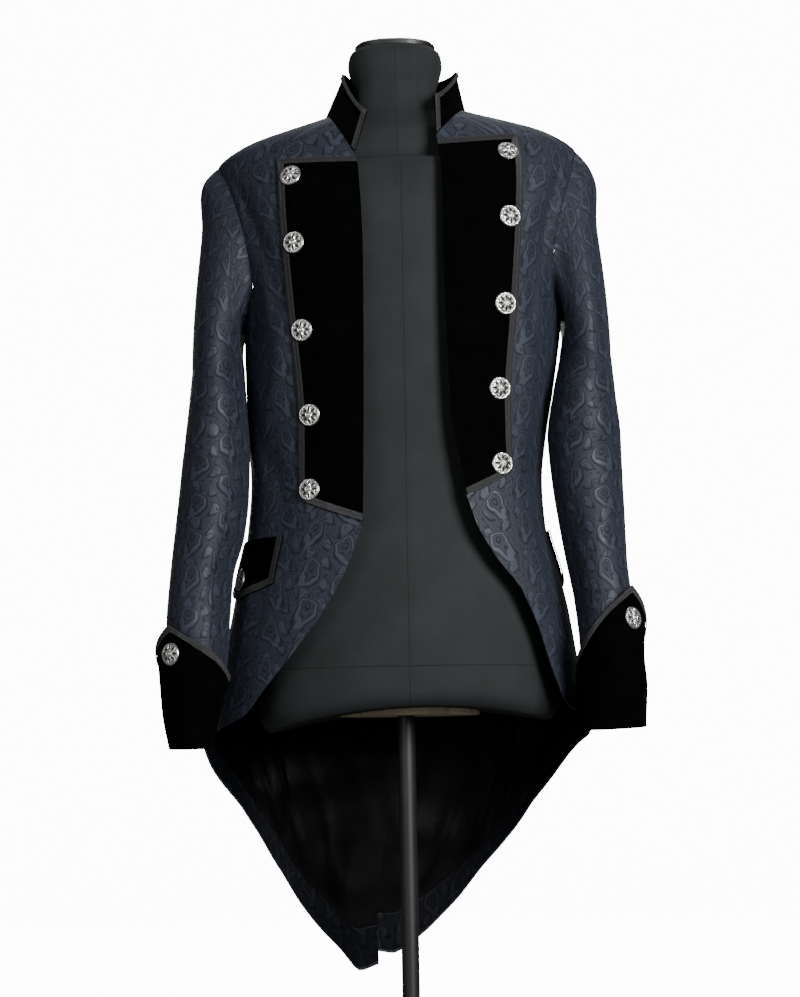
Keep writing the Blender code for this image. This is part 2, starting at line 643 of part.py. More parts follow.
def cut_hem(hem, low, high):
    """The stretch of a hem between two angles, its ends exactly there."""
    heights = np.interp([low, high], hem[:, 0], hem[:, 1])
    inside = hem[(hem[:, 0] > low + 1e-4) & (hem[:, 0] < high - 1e-4)]
    return np.concatenate([[(low, heights[0])], inside, [(high, heights[1])]])


def shoulder_line():
    """The shoulder seam, from the neck point out to the shoulder tip."""
    inner = np.linspace(NECK_POINT, PRINCESS_SEAM[-1].height, SHOULDER_COLUMNS + 1)
    outer = np.linspace(PRINCESS_SEAM[-1].height, SHOULDER_TIP, SIDE_COLUMNS + 1)
    heights = np.concatenate([inner, outer[1:]])
    return np.stack([np.full(heights.shape, np.pi / 2), heights], axis=1)


def front_grid(side, hem, princess):
    """Angles and heights of the front panel: its skirt, the stretch under the lapel and its yoke."""
    sign, half = side.sign, SEAM / 2
    columns = NECK_COLUMNS + SHOULDER_COLUMNS
    seam = nudge(princess, sign, angle_by=-half)
    corner, chest = SKIRT_ROWS, SKIRT_ROWS + LAPEL_ROWS
    foot_angle = float(angle_for("reach", FRONT_FOOT, FRONT_FOOT_HEIGHT))
    bottom = even(cut_hem(hem, foot_angle, princess[0, 0]), columns)
    bottom[-1] = seam[0]
    cutaway = even(cut_hem(hem, hem[0, 0], foot_angle)[::-1], SKIRT_ROWS)
    cutaway[0] = bottom[0]

    top_inner = LAPEL_TOP_INNER + side.lift
    edge = even(line_at(side.edge, np.linspace(side.edge[0].height, top_inner, 40)), LAPEL_ROWS)
    edge[0] = cutaway[-1]
    neck_heights = np.linspace(top_inner, NECK_FRONT + side.lift, YOKE_ROWS + 1)
    neck_edge = line_at(side.edge, neck_heights)
    turn = np.linspace(0, 1, 12)
    start = NECK_FRONT + side.lift
    inner = float(smooth(side.edge, "across", start))
    heights = start + (NECK_POINT - start) * turn
    reach = inner + (COAT_RINGS[-2].half_width - inner) * turn
    neck = np.stack([angle_for("reach", reach, heights), heights], axis=1)
    neck[0], neck[-1] = neck_edge[-1], (np.pi / 2 - half / NECK_RADIUS, NECK_POINT)
    ridge = nudge(shoulder_line()[:SHOULDER_COLUMNS + 1], sign, angle_by=-half)
    top = np.concatenate([even(neck, NECK_COLUMNS), ridge[1:]])
    top[-1] = (np.pi / 2 - half / SHOULDER_RADIUS, seam[-1, 1])
    seam[-1] = top[-1]

    def level(left, right):
        return even(np.linspace(left, right, columns + 1), columns)
    foot_row, chest_row = level(edge[0], seam[corner]), level(edge[-1], seam[chest])
    foot_row[[0, -1]], chest_row[[0, -1]] = (edge[0], seam[corner]), (edge[-1], seam[chest])
    neck_edge[0] = chest_row[0]
    top[0] = neck_edge[-1]
    skirt = patch(bottom, foot_row, cutaway, seam[:corner + 1])
    middle = patch(foot_row, chest_row, edge, seam[corner:chest + 1])
    yoke = patch(chest_row, top, neck_edge, seam[chest:])
    return np.concatenate([skirt, middle[1:], yoke[1:]])


def side_grid(side, hem, princess, side_seam):
    """Angles and heights of the side front, from the princess seam to the side seam and armhole."""
    sign, half = side.sign, SEAM / 2
    left = nudge(princess, sign, angle_by=half)
    right = np.concatenate([nudge(side_seam, sign, angle_by=-half), armhole("front")[1:]])
    top = nudge(shoulder_line()[SHOULDER_COLUMNS:], sign, angle_by=-half)
    top[:, 0] = np.pi / 2 - half / SHOULDER_RADIUS
    right[-1] = top[-1]
    top[0] = (top[0, 0], top[0, 1] - half)
    left[-1] = top[0]
    bottom = even(cut_hem(hem, princess[0, 0], np.pi / 2), SIDE_COLUMNS)
    bottom[0], bottom[-1] = left[0], right[0]
    return patch(bottom, top, left, right, 2)


def back_grid(side, hem, side_seam):
    """Angles and heights of the back with its tail, from the vent to the side seam and armhole."""
    sign, half = side.sign, SEAM / 2
    right = np.concatenate([nudge(side_seam, sign, angle_by=half), armhole("back")[1:]])
    neck_angles = np.linspace(np.pi - half / NECK_RADIUS, np.pi / 2 + half / NECK_RADIUS, NECK_COLUMNS + 1)
    back_neck = np.stack([neck_angles, np.full(NECK_COLUMNS + 1, NECK_POINT)], axis=1)
    ridge = shoulder_line()
    ridge[:, 0] += half / SHOULDER_RADIUS
    top = np.concatenate([back_neck, ridge[1:]])
    right[-1] = top[-1]
    rise = np.sin(np.linspace(0, np.pi / 2, ARM_ROWS + 1))[1:]
    heights = np.concatenate([np.linspace(hem[-1, 1], UNDERARM, LOW_ROWS + 1),
                              UNDERARM + (NECK_POINT - UNDERARM) * rise])
    gap = smooth(VENT, "across", heights) + half
    vent = np.stack([angle_for("reach", gap, heights, True), heights], axis=1)
    vent[0], vent[-1] = hem[-1], top[0]
    columns = NECK_COLUMNS + SHOULDER_COLUMNS + SIDE_COLUMNS
    bottom = even(cut_hem(hem, np.pi / 2, hem[-1, 0])[::-1], columns)
    bottom[0], bottom[-1] = vent[0], right[0]
    return patch(bottom, top, vent, right, 4)


def make_body(side):
    """Front, side front and back of one half, cut along the princess, side and shoulder seams."""
    hem = hem_line(side)
    seam_angle = float(angle_for("reach", PRINCESS_SEAM[1].across, PRINCESS_SEAM[1].height))
    princess = princess_line(side, float(np.interp(seam_angle, hem[:, 0], hem[:, 1])))
    hem_angle = princess[0, 0]
    princess[0, 1] = float(np.interp(hem_angle, hem[:, 0], hem[:, 1]))
    side_foot = float(np.interp(np.pi / 2, hem[:, 0], hem[:, 1]))
    rows = np.linspace(side_foot, UNDERARM, LOW_ROWS + 1)
    side_seam = np.stack([np.full(rows.shape, np.pi / 2), rows], axis=1)
    body = {
        "front": coat_cloth(side.sign, front_grid(side, hem, princess)),
        "side_front": coat_cloth(side.sign, side_grid(side, hem, princess, side_seam)),
        "back": coat_cloth(side.sign, back_grid(side, hem, side_seam)),
    }
    for name, cloth in body.items():
        wall(f"{name}_{side.name}", cloth, CLOTH, "brocade")
    return body


def braid(name, cloth, route, lift=BRAID_GAP):
    """A flat braid along a route of grid places, each with the way that its width goes in."""
    across, along, side, rise = (np.array(column, float) for column in zip(*route))
    inner = move_in(cloth, (across, side), (along, rise), BRAID_WIDE)
    strip = cut_from(cloth, np.stack([across, inner[0]]), np.stack([along, inner[1]]), lift + BRAID_THICK)
    wall(name, strip, BRAID_THICK, "braid")


def button(name, cloth, across, along, lift):
    """A domed metal button, its flat back just over the cloth."""
    here = on_cloth(cloth, across, along, lift + SEAM)
    normal = on_cloth(cloth, across, along, lift + SEAM + 1.0) - here
    normal /= np.linalg.norm(normal)
    side = np.cross(normal, (0.0, 0.0, 1.0))
    side /= np.linalg.norm(side)
    up = np.cross(side, normal)
    turn = np.linspace(0, 2 * np.pi, BUTTON_SIDES, endpoint=False)[:, None]
    circle = np.cos(turn) * side + np.sin(turn) * up
    rings = [here + circle * BUTTON_RADIUS * out + normal * BUTTON_DOME * high
             for out, high in BUTTON_PROFILE]
    stack(name, rings, "silver")


def make_lapel(side, front):
    """The velvet revers on a front panel, its braid and its row of buttons."""
    columns = NECK_COLUMNS + SHOULDER_COLUMNS
    low, high = SKIRT_ROWS, SKIRT_ROWS + LAPEL_ROWS
    along = np.arange(low, high + 1, dtype=float)[:, None]
    across = np.arange(columns + 1, dtype=float)[None, :] + 0 * along
    along = along + 0 * across
    edge = move_in(front, (across[:, -1], -1.0), (along[:, -1], 0.0), LAPEL_INSET)
    across[:, -1] = edge[0]
    lapel = cut_from(front, across, along, SEAM + VELVET)
    wall(f"lapel_{side.name}", lapel, VELVET, "velvet")

    last = LAPEL_ROWS
    route = [(j, 0, 0, 1) for j in range(columns)] + [(columns, 0, -1, 1)]
    route += [(columns, i, -1, 0) for i in range(1, last)] + [(columns, last, -1, -1)]
    route += [(j, last, 0, -1) for j in range(columns - 1, -1, -1)]
    braid(f"lapel_braid_{side.name}", lapel, route)

    heights = lapel.points[:, -1, 2]
    for number, height in enumerate(BUTTON_HEIGHTS, 1):
        row = np.interp(height + side.lift + LEAN * side.sign * BUTTON_REACH, heights, np.arange(last + 1))
        column, row = move_in(lapel, (np.array(float(columns)), -1), (np.array(row), 0), BUTTON_INSET)
        name = f"lapel_button_{side.name}_{number}"
        button(name, lapel, float(column), float(row), BRAID_GAP + BRAID_THICK)


def make_flap(side, body):
    """A pointed pocket flap across the side seam, its braid and its button."""
    front, back = body["side_front"], body["back"]
    low = slice(0, LOW_ROWS + 1)
    behind = slice(-2, -2 - FLAP_BACK_COLUMNS, -1)
    grids = [np.concatenate([getattr(front, k)[low], getattr(back, k)[low, behind]], axis=1)
             for k in ("points", "normals", "grid")]
    flank = Cloth(*grids)
    share = np.linspace(0, 1, FLAP_COLUMNS + 1)
    angles = np.radians(side.flap_start + FLAP_WIDE * share)
    lower = FLAP_LOW + (FLAP_POINT - FLAP_LOW) * (1 - np.abs(2 * share - 1))
    rows = np.linspace(0, 1, FLAP_ROWS + 1)
    places = [[find_on(flank, a, b + (FLAP_TOP - b) * r) for a, b in zip(angles, lower)] for r in rows]
    places = np.array(places)
    flap = cut_from(flank, places[..., 0], places[..., 1], FLAP_LIFT + VELVET)
    wall(f"pocket_flap_{side.name}", flap, VELVET, "velvet")
    route = [(0, i, 1, 0) for i in range(FLAP_ROWS, 0, -1)] + [(0, 0, 1, 1)]
    route += [(j, 0, 0, 1) for j in range(1, FLAP_COLUMNS)]
    route += [(FLAP_COLUMNS, 0, -1, 1)] + [(FLAP_COLUMNS, i, -1, 0) for i in range(1, FLAP_ROWS + 1)]
    braid(f"flap_braid_{side.name}", flap, route)
    row = FLAP_BUTTON_RISE / (FLAP_TOP - FLAP_POINT) * FLAP_ROWS
    button(f"flap_button_{side.name}", flap, FLAP_COLUMNS / 2, row, SEAM)


def make_tail_inside(side, back):
    """The satin lining of a tail, and the brocade facing along its hem."""
    columns = back.points.shape[1]
    across = np.arange(columns, dtype=float)
    across[0] += VENT_INSET
    across[-1] -= FLANK_INSET
    behind = -(CLOTH + SEAM)
    lining_rows = (LINING_START, *range(1, LINING_ROWS + 1))
    for name, rows, finish in (("facing", FACING_ROWS, "brocade"), ("lining", lining_rows, "satin")):
        wide, tall = np.meshgrid(across, np.array(rows, float))
        cloth = cut_from(back, wide, tall, behind)
        wall(f"tail_{name}_{side.name}", cloth, SATIN, finish)


def sleeve_cloth(side):
    """The sleeve's outer face: its head leaves the armhole outwards, then turns down its sections."""
    branches = [armhole("front"), armhole("back")[::-1][1:-1]]
    loop = coat_surface(side.sign, *np.concatenate(branches).T)
    loop = loop + np.array([side.sign * HEAD_START, 0.0, 0.0])
    turn = np.linspace(0, 2 * np.pi, 2 * ARM_ROWS, endpoint=False)
    rings = []
    for part in SLEEVES[side.name]:
        middle, wide = (part.outer + part.inner) / 2, (part.outer - part.inner) / 2
        relief = fold_relief(SLEEVE_FOLDS, turn, np.full(turn.shape, part.height), SLEEVE_RADIUS)
        x = side.sign * (middle - (wide + relief) * np.cos(turn))
        y = part.middle - (part.deep + relief) * np.sin(turn)
        rings.append(settle(np.stack([x, y, np.full(turn.shape, part.height)], axis=1), steady=True))
    first = rings[0]
    span = np.linalg.norm(first - loop, axis=1, keepdims=True)
    leave = np.array([side.sign * HEAD_SPRING, 0.0, 0.0]) * (HEAD_LEAST + span / span.max())
    leave = leave - np.array([0.0, 0.0, HEAD_SINK])
    arrive = np.array([0.0, HEAD_ARRIVE, -1.0]) * span
    head = []
    for t in np.linspace(0, 1, HEAD_ROWS + 1)[:-1]:
        ring = ((2 * t ** 3 - 3 * t ** 2 + 1) * loop + (t ** 3 - 2 * t ** 2 + t) * leave
                + (3 * t ** 2 - 2 * t ** 3) * first + (t ** 3 - t ** 2) * arrive)
        pad = np.exp(-((ring[:, 2] - HEAD_PAD_PLACE[0]) / HEAD_PAD_PLACE[1]) ** 2)
        ring[:, 0] += side.sign * HEAD_PAD * pad * ease(0, HEAD_PAD_START, t)
        head.append(ring)
    return with_normals(np.array(head + rings), closed=True)


def make_sleeve(side):
    """Top and under sleeve, sewn along the front and the back of the arm."""
    tube = sleeve_cloth(side)
    count = 2 * ARM_ROWS
    rows = np.arange(tube.points.shape[0], dtype=float)[:, None]
    wrapped = Cloth(*(np.concatenate([g, g, g[:, :1]], axis=1) for g in tube[:2]), None)
    halves = {
        "sleeve_top": np.arange(FRONT_SEAM, count - FRONT_SEAM + 1, dtype=float),
        "sleeve_under": np.arange(count - FRONT_SEAM, count + FRONT_SEAM + 1, dtype=float),
    }
    for name, columns in halves.items():
        across = columns[None, :] + 0 * rows
        along = rows + 0 * across
        across[:, 0] = move_in(wrapped, (across[:, 0], 1), (along[:, 0], 0), SEAM)[0]
        across[:, -1] = move_in(wrapped, (across[:, -1], -1), (along[:, -1], 0), SEAM)[0]
        wall(f"{name}_{side.name}", cut_from(wrapped, across, along), CLOTH, "brocade")
    return tube


def make_cuff(side, tube):
    """The turned-back velvet cuff with its pointed edge, its braid and its button."""
    count = 2 * ARM_ROWS
    turn = np.arange(count) * 2 * np.pi / count
    apart = np.abs((turn - np.radians(CUFF_POINT_TURN) + np.pi) % (2 * np.pi) - np.pi) / np.pi
    pointed = np.clip(1 - apart / CUFF_POINT_WIDE, 0, 1) ** CUFF_POINT_CURVE
    rim = CUFF_LOW + (side.cuff_point - CUFF_LOW) * pointed
    heights = np.array([part.height for part in SLEEVES[side.name]])
    share = np.linspace(0, 1, CUFF_ROWS + 1)[:, None]
    level = CUFF_BOTTOM + (rim[None, :] - CUFF_BOTTOM) * share
    along = HEAD_ROWS + np.interp(-level, -heights, np.arange(len(heights)))
    low = along[0] + (heights[-1] - CUFF_BOTTOM) / (heights[-2] - heights[-1])
    along[0] = low
    across = np.arange(count, dtype=float)[None, :] + 0 * share
    outward = CUFF_OUTWARD[0] - CUFF_OUTWARD[1] * np.cos(turn)[None, :]
    lift = CUFF_SEAT + VELVET + CUFF_FLARE * outward * (level - CUFF_BOTTOM) / (CUFF_LOW - CUFF_BOTTOM)
    wrapped = Cloth(*(np.concatenate([g, g[:, :1]], axis=1) for g in tube[:2]), None)
    points = on_cloth(wrapped, across, along, lift)
    cuff = with_normals(points[::-1], closed=True)
    wall(f"cuff_{side.name}", cuff, VELVET, "velvet", closed=True)
    loop = Cloth(*(np.concatenate([g, g[:, :1]], axis=1) for g in cuff[:2]), None)
    route = [(j, 0, 0, 1) for j in range(count)]
    across, along, way, rise = (np.array(column, float) for column in zip(*route))
    inner = move_in(loop, (across, way), (along, rise), BRAID_WIDE)
    strip = cut_from(loop, np.stack([across, inner[0]]), np.stack([along, inner[1]]), BRAID_GAP + BRAID_THICK)
    wall(f"cuff_braid_{side.name}", strip, BRAID_THICK, "braid", closed=True)
    place = np.radians(CUFF_POINT_TURN) / (2 * np.pi) * count
    button(f"cuff_button_{side.name}", loop, place, CUFF_BUTTON_ROW, 2 * SEAM)


def make_collar(bodies):
    """The stand of velvet round the neckline, open at the front, with its braid."""
    loop = []
    for body in bodies:
        front = body["front"].points[-1, :NECK_COLUMNS + 1]
        back = body["back"].points[-1, :NECK_COLUMNS + 1][::-1]
        loop.append(np.concatenate([front[:-1], [(front[-1] + back[0]) / 2], back[1:]]))
    right, left = loop
    base = np.concatenate([right[:-1], [(right[-1] + left[-1]) / 2], left[:-1][::-1]])
    base = base + np.array([0.0, 0.0, COLLAR_BASE])
    count = len(base)
    share = np.linspace(-1, 1, count)
    turn = np.pi - (np.pi - np.radians(COLLAR_OPENING)) * np.abs(share)
    rise = ease(*COLLAR_CORNER, turn)
    corner = np.where(share < 0, RIGHT.collar_corner, LEFT.collar_corner)
    top = np.stack([
        np.sign(share) * COLLAR_WIDE * np.sin(turn) + COLLAR_DRIFT,
        -np.where(np.cos(turn) > 0, COLLAR_FRONT, COLLAR_BACK) * np.cos(turn),
        corner + (COLLAR_TOP - corner) * rise,
    ], axis=1)
    rows = np.linspace(0, 1, COLLAR_ROWS + 1)[:, None, None]
    points = base[None] * (1 - rows) + top[None] * rows
    collar = with_normals(points)
    wall("collar", collar, VELVET, "velvet")
    last, end = COLLAR_ROWS, count - 1
    route = [(0, i, 1, 0) for i in range(last)] + [(0, last, 1, -1)]
    route += [(j, last, 0, -1) for j in range(1, end)] + [(end, last, -1, -1)]
    route += [(end, i, -1, 0) for i in range(last - 1, -1, -1)]
    braid("collar_braid", collar, route, COLLAR_BRAID_GAP)


def level_ring(part, share=1.0):
    """A ring of the form, level but for the arch of its lower rim."""
    turn = np.linspace(0, 2 * np.pi, FORM_COLUMNS, endpoint=False)
    deep = np.where(np.cos(turn) >= 0, part.front, part.back)
    x = share * part.half_width * np.sin(turn) * (1 + SQUARENESS * np.cos(turn) ** 2)
    y = -share * deep * np.cos(turn) * (1 + SQUARENESS * np.sin(turn) ** 2)
    arch = RIM_DROP * (x / RIM_WIDE) ** 2 * (1 - ease(*RIM_FADE, part.height))
    return np.stack([x, y, part.height - arch], axis=1)


def resting_ring(height):
    """A ring of the form that lies just under the coat's shoulders."""
    turn = np.linspace(0, 2 * np.pi, FORM_COLUMNS, endpoint=False)
    sign = np.where(turn <= np.pi, 1, -1)
    angle = np.where(turn <= np.pi, turn, 2 * np.pi - turn)
    rings = []
    for one in (1, -1):
        cloth = coat_cloth(one, np.stack([angle, np.full(angle.shape, height)], axis=1)[None])
        slack = SLACK * (1 - ease(SHOULDER_TIP, SLACK_END, height))
        depth = CLOTH + REST + slack + THROAT * (1 - ease(*THROAT_SIDE, angle))[None, :, None]
        rings.append((cloth.points - cloth.normals * depth)[0])
    return np.where(sign[:, None] > 0, rings[0], rings[1])


def make_form():
    """The limbless dress form, its cap, its board and its short stand."""
    foot = FORM_RINGS[0]
    tip = np.array([0.0, 0.0, foot.height])
    rings = [settle(level_ring(foot, share), steady=True) for share in reversed(RIM_SHARES)]
    rings += [settle(level_ring(part), steady=True) for part in FORM_RINGS]
    rings += [resting_ring(height) for height in RESTING_LEVELS]
    rings += [level_ring(part) for part in NECK_RINGS]
    stack("form_torso", rings, "form_cloth", low_tip=settle(tip, steady=True))
    top = NECK_RINGS[-1]
    low = top.height + SEAM
    cap = [top._replace(height=low), top._replace(height=low + CAP_THICK * CAP_EDGE),
           Ring(low + CAP_THICK, top.half_width * CAP_TOP, top.front * CAP_TOP, top.back * CAP_TOP)]
    stack("form_neck_cap", [level_ring(part) for part in cap], "stand")
    clear = np.array([0.0, 0.0, 2 * SEAM])
    board = [settle(level_ring(foot, share), steady=True) - clear for share in BOARD_SHARES]
    top = settle(tip, steady=True) - clear
    under = top[2] - BOARD_THICK
    flat = board[0] * (1, 1, 0) + (0, 0, under)
    stack("form_board", [flat, *board], "board", high_tip=top)
    turn = np.linspace(0, 2 * np.pi, STAND_SIDES, endpoint=False)

    def disc(radius, height):
        return np.stack([radius * np.cos(turn), radius * np.sin(turn), np.full(turn.shape, height)], axis=1)
    pole_top = under - SEAM
    stack("stand_pole", [disc(POLE_RADIUS, FOOT_THICK + SEAM), disc(POLE_RADIUS, pole_top)], "stand")
    stack("stand_foot", [disc(FOOT_RADIUS, 0.0), disc(FOOT_RADIUS, FOOT_THICK - FOOT_EDGE),
                         disc(FOOT_RADIUS - FOOT_EDGE, FOOT_THICK)], "stand")


def main():
    """Builds every piece."""
    for old in list(bpy.data.objects):
        bpy.data.objects.remove(old)
    bodies = []
    for side in (RIGHT, LEFT):
        body = make_body(side)
        bodies.append(body)
        make_lapel(side, body["front"])
        make_flap(side, body)
        make_tail_inside(side, body["back"])
        make_cuff(side, make_sleeve(side))
    make_collar(bodies)
    make_form()


main()
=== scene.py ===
"""Looks of the cutaway frock coat on its dress form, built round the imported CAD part.

Metres, +Z up. The form faces -Y and the wearer's right is -X. Every cloth piece repeats the CAD
piece's own rings, seams and edges in finer grids, with finer folds, so it lies where the CAD
solid lies. A place on the coat is an angle from the front and a height.
"""
from __future__ import annotations

import json
import logging
from dataclasses import dataclass
from enum import Enum
from typing import Iterable, NamedTuple, Sequence

import bpy
import numpy as np
from mathutils import Matrix, Vector

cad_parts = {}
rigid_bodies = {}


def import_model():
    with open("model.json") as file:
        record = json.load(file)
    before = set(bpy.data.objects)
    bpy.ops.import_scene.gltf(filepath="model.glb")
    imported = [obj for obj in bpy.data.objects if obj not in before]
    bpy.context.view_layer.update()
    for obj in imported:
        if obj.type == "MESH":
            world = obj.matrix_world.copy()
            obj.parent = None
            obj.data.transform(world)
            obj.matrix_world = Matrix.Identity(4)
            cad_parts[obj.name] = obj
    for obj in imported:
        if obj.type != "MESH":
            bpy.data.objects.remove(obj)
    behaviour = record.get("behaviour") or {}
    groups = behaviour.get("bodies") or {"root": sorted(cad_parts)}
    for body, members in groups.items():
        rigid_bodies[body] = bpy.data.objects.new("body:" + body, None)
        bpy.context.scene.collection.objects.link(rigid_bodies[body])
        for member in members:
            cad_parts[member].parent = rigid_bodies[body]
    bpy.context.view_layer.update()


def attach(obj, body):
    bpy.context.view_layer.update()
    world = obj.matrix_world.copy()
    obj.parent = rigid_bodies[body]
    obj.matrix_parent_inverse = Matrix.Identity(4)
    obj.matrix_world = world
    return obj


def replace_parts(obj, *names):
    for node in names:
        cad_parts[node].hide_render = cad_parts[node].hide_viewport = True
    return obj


LOG = logging.getLogger("frock_coat")
Array = np.ndarray
Number = float | Array

# Thicknesses and gaps of the CAD part
CLOTH, VELVET, SATIN = 0.0020, 0.0016, 0.0010
BRAID_THICK, BRAID_WIDE, BRAID_GAP = 0.0012, 0.0085, 0.0005
SEAM = 0.0003

# Grid counts, FINER times those of the CAD part, so that its rows and columns are found again
FINER = 5
LOW_ROWS, ARM_ROWS = 12 * FINER, 9 * FINER
SKIRT_ROWS, LAPEL_ROWS, YOKE_ROWS = 5 * FINER, 11 * FINER, 5 * FINER
SIDE_COLUMNS, SHOULDER_COLUMNS, NECK_COLUMNS = 5 * FINER, 4 * FINER, 4 * FINER

SMALL = 1e-3
SQUARENESS = 0.12
SHOULDER_TIP, UNDERARM = 1.054, 0.848
NECK_POINT, NECK_FRONT, NECK_HALF = 1.107, 1.0545, 0.084
CREST, SLOPE, CREST_SHAVE, CREST_WIDE, CREST_SEAM = 1.050, 2.8, 0.040, 0.022, 0.1
LEAN, DRIFT = 0.030, 0.004
COAT_RADIUS, SLEEVE_RADIUS, NECK_RADIUS, SHOULDER_RADIUS = 0.18, 0.055, 0.080, 0.090


class Table:
    """Rows of sizes under named columns, read along the first column without overshoot."""

    def __init__(self, columns: str, *rows: Sequence[float]) -> None:
        """Sorts the rows.

        Args:
            columns: the columns' names, with spaces between.
            rows: one row of numbers each.
        """
        self.columns = columns.split()
        self.rows = np.array(sorted(rows), float)

    def column(self, name: str) -> Array:
        """One whole column.

        Args:
            name: its name.

        Returns:
            Its numbers, from the lowest row to the highest.
        """
        return self.rows[:, self.columns.index(name)]

    def __call__(self, name: str, at: Number) -> Array:
        """A column's value by piecewise cubics whose slope is the harmonic mean of its neighbours'.

        Args:
            name: the column's name.
            at: places along the first column.

        Returns:
            The values there; the end rows hold beyond the ends.
        """
        x, y = self.rows[:, 0], self.column(name)
        at = np.clip(np.asarray(at, float), x[0], x[-1])
        step = np.diff(x)
        slope = np.diff(y) / step
        tangent = np.zeros(len(x))
        tangent[0], tangent[-1] = slope[0], slope[-1]
        same = slope[:-1] * slope[1:] > 0
        mean = 2 * slope[:-1] * slope[1:] / np.where(same, slope[:-1] + slope[1:], 1.0)
        tangent[1:-1] = np.where(same, mean, 0.0)
        k = np.clip(np.searchsorted(x, at) - 1, 0, len(step) - 1)
        t = (at - x[k]) / step[k]
        return (
            y[k] * (1 + 2 * t) * (1 - t) ** 2 + tangent[k] * step[k] * t * (1 - t) ** 2
            + y[k + 1] * t ** 2 * (3 - 2 * t) - tangent[k + 1] * step[k] * t ** 2 * (1 - t)
        )


COAT = Table(
    "height half_width front back",
    (0.040, 0.2290, 0.120, 0.172), (0.200, 0.2290, 0.120, 0.172), (0.346, 0.2285, 0.124, 0.170),
    (0.420, 0.2160, 0.133, 0.163), (0.500, 0.2010, 0.140, 0.152), (0.550, 0.1905, 0.140, 0.142),
    (0.600, 0.1785, 0.137, 0.128), (0.660, 0.1745, 0.130, 0.110), (0.700, 0.1775, 0.128, 0.105),
    (0.760, 0.1840, 0.130, 0.108), (0.815, 0.1890, 0.134, 0.115), (0.870, 0.1930, 0.137, 0.124),
    (0.930, 0.2010, 0.135, 0.132), (0.980, 0.2090, 0.127, 0.133), (1.015, 0.2145, 0.115, 0.128),
    (1.034, 0.2175, 0.107, 0.122), (1.046, 0.2190, 0.100, 0.118), (1.054, 0.2175, 0.096, 0.115),
    (1.061, 0.2115, 0.092, 0.112), (1.068, 0.2010, 0.088, 0.109), (1.077, 0.1830, 0.082, 0.104),
    (1.0885, 0.1460, 0.075, 0.096), (1.098, 0.1120, 0.068, 0.087), (1.107, 0.0840, 0.062, 0.078),
    (1.116, 0.0680, 0.054, 0.066),
)
TAIL_SWAY = Table(
    "height across",
    (0.050, -0.033), (0.122, -0.036), (0.196, -0.030), (0.250, -0.022), (0.346, -0.019), (0.500, 0.0),
)
PRINCESS = Table(
    "height across",
    (0.400, 0.152), (0.456, 0.145), (0.559, 0.132), (0.635, 0.124), (0.730, 0.124), (0.830, 0.131),
    (0.930, 0.140), (1.020, 0.145), (1.0885, 0.1455),
)
PRINCESS_TOP = 1.0885
PRINCESS_FOOT = (0.145, 0.456)
SIDE_SWAY = Table(
    "height across",
    (0.050, -0.0085), (0.200, -0.0085), (0.346, -0.0085), (0.500, -0.0095), (0.600, -0.0120), (0.660, -0.0105),
    (0.720, -0.0078), (0.760, -0.0050), (0.800, -0.0025), (0.850, 0.0000), (1.200, 0.0000),
)
VENT = Table("height across", (0.05, 0.0), (0.60, 0.0), (0.64, SEAM / 2), (1.2, SEAM / 2))
TAIL_HEM = ((0.346, 0.2262), (0.282, 0.1835), (0.239, 0.1530), (0.196, 0.1205), (0.159, 0.0960))
HEM_FLANK = (84, 0.358)
HEM_FINE = 12
FRONT_FOOT, FRONT_FOOT_HEIGHT = 0.112, 0.482
ARM_DEEP_FRONT, ARM_DEEP_BACK, ARM_SKEW = 0.068, 0.062, 0.25
TAIL_WAVES, TAIL_WAVE_DEEP, FLUTE_FADE, FLUTE_FROM = 2, 0.0060, (0.25, 0.60), (1.35, 1.9)
SWING_FROM, WAIST_FROM, FOLD_FADE = (1.2, 2.0), (0.75, 1.35), (1.02, 1.05)


class Fold(NamedTuple):
    """A soft ridge (deep above 0) or trough: its place, half run, half width, depth and lean."""

    angle: float
    height: float
    run: float
    wide: float
    deep: float
    lean: float


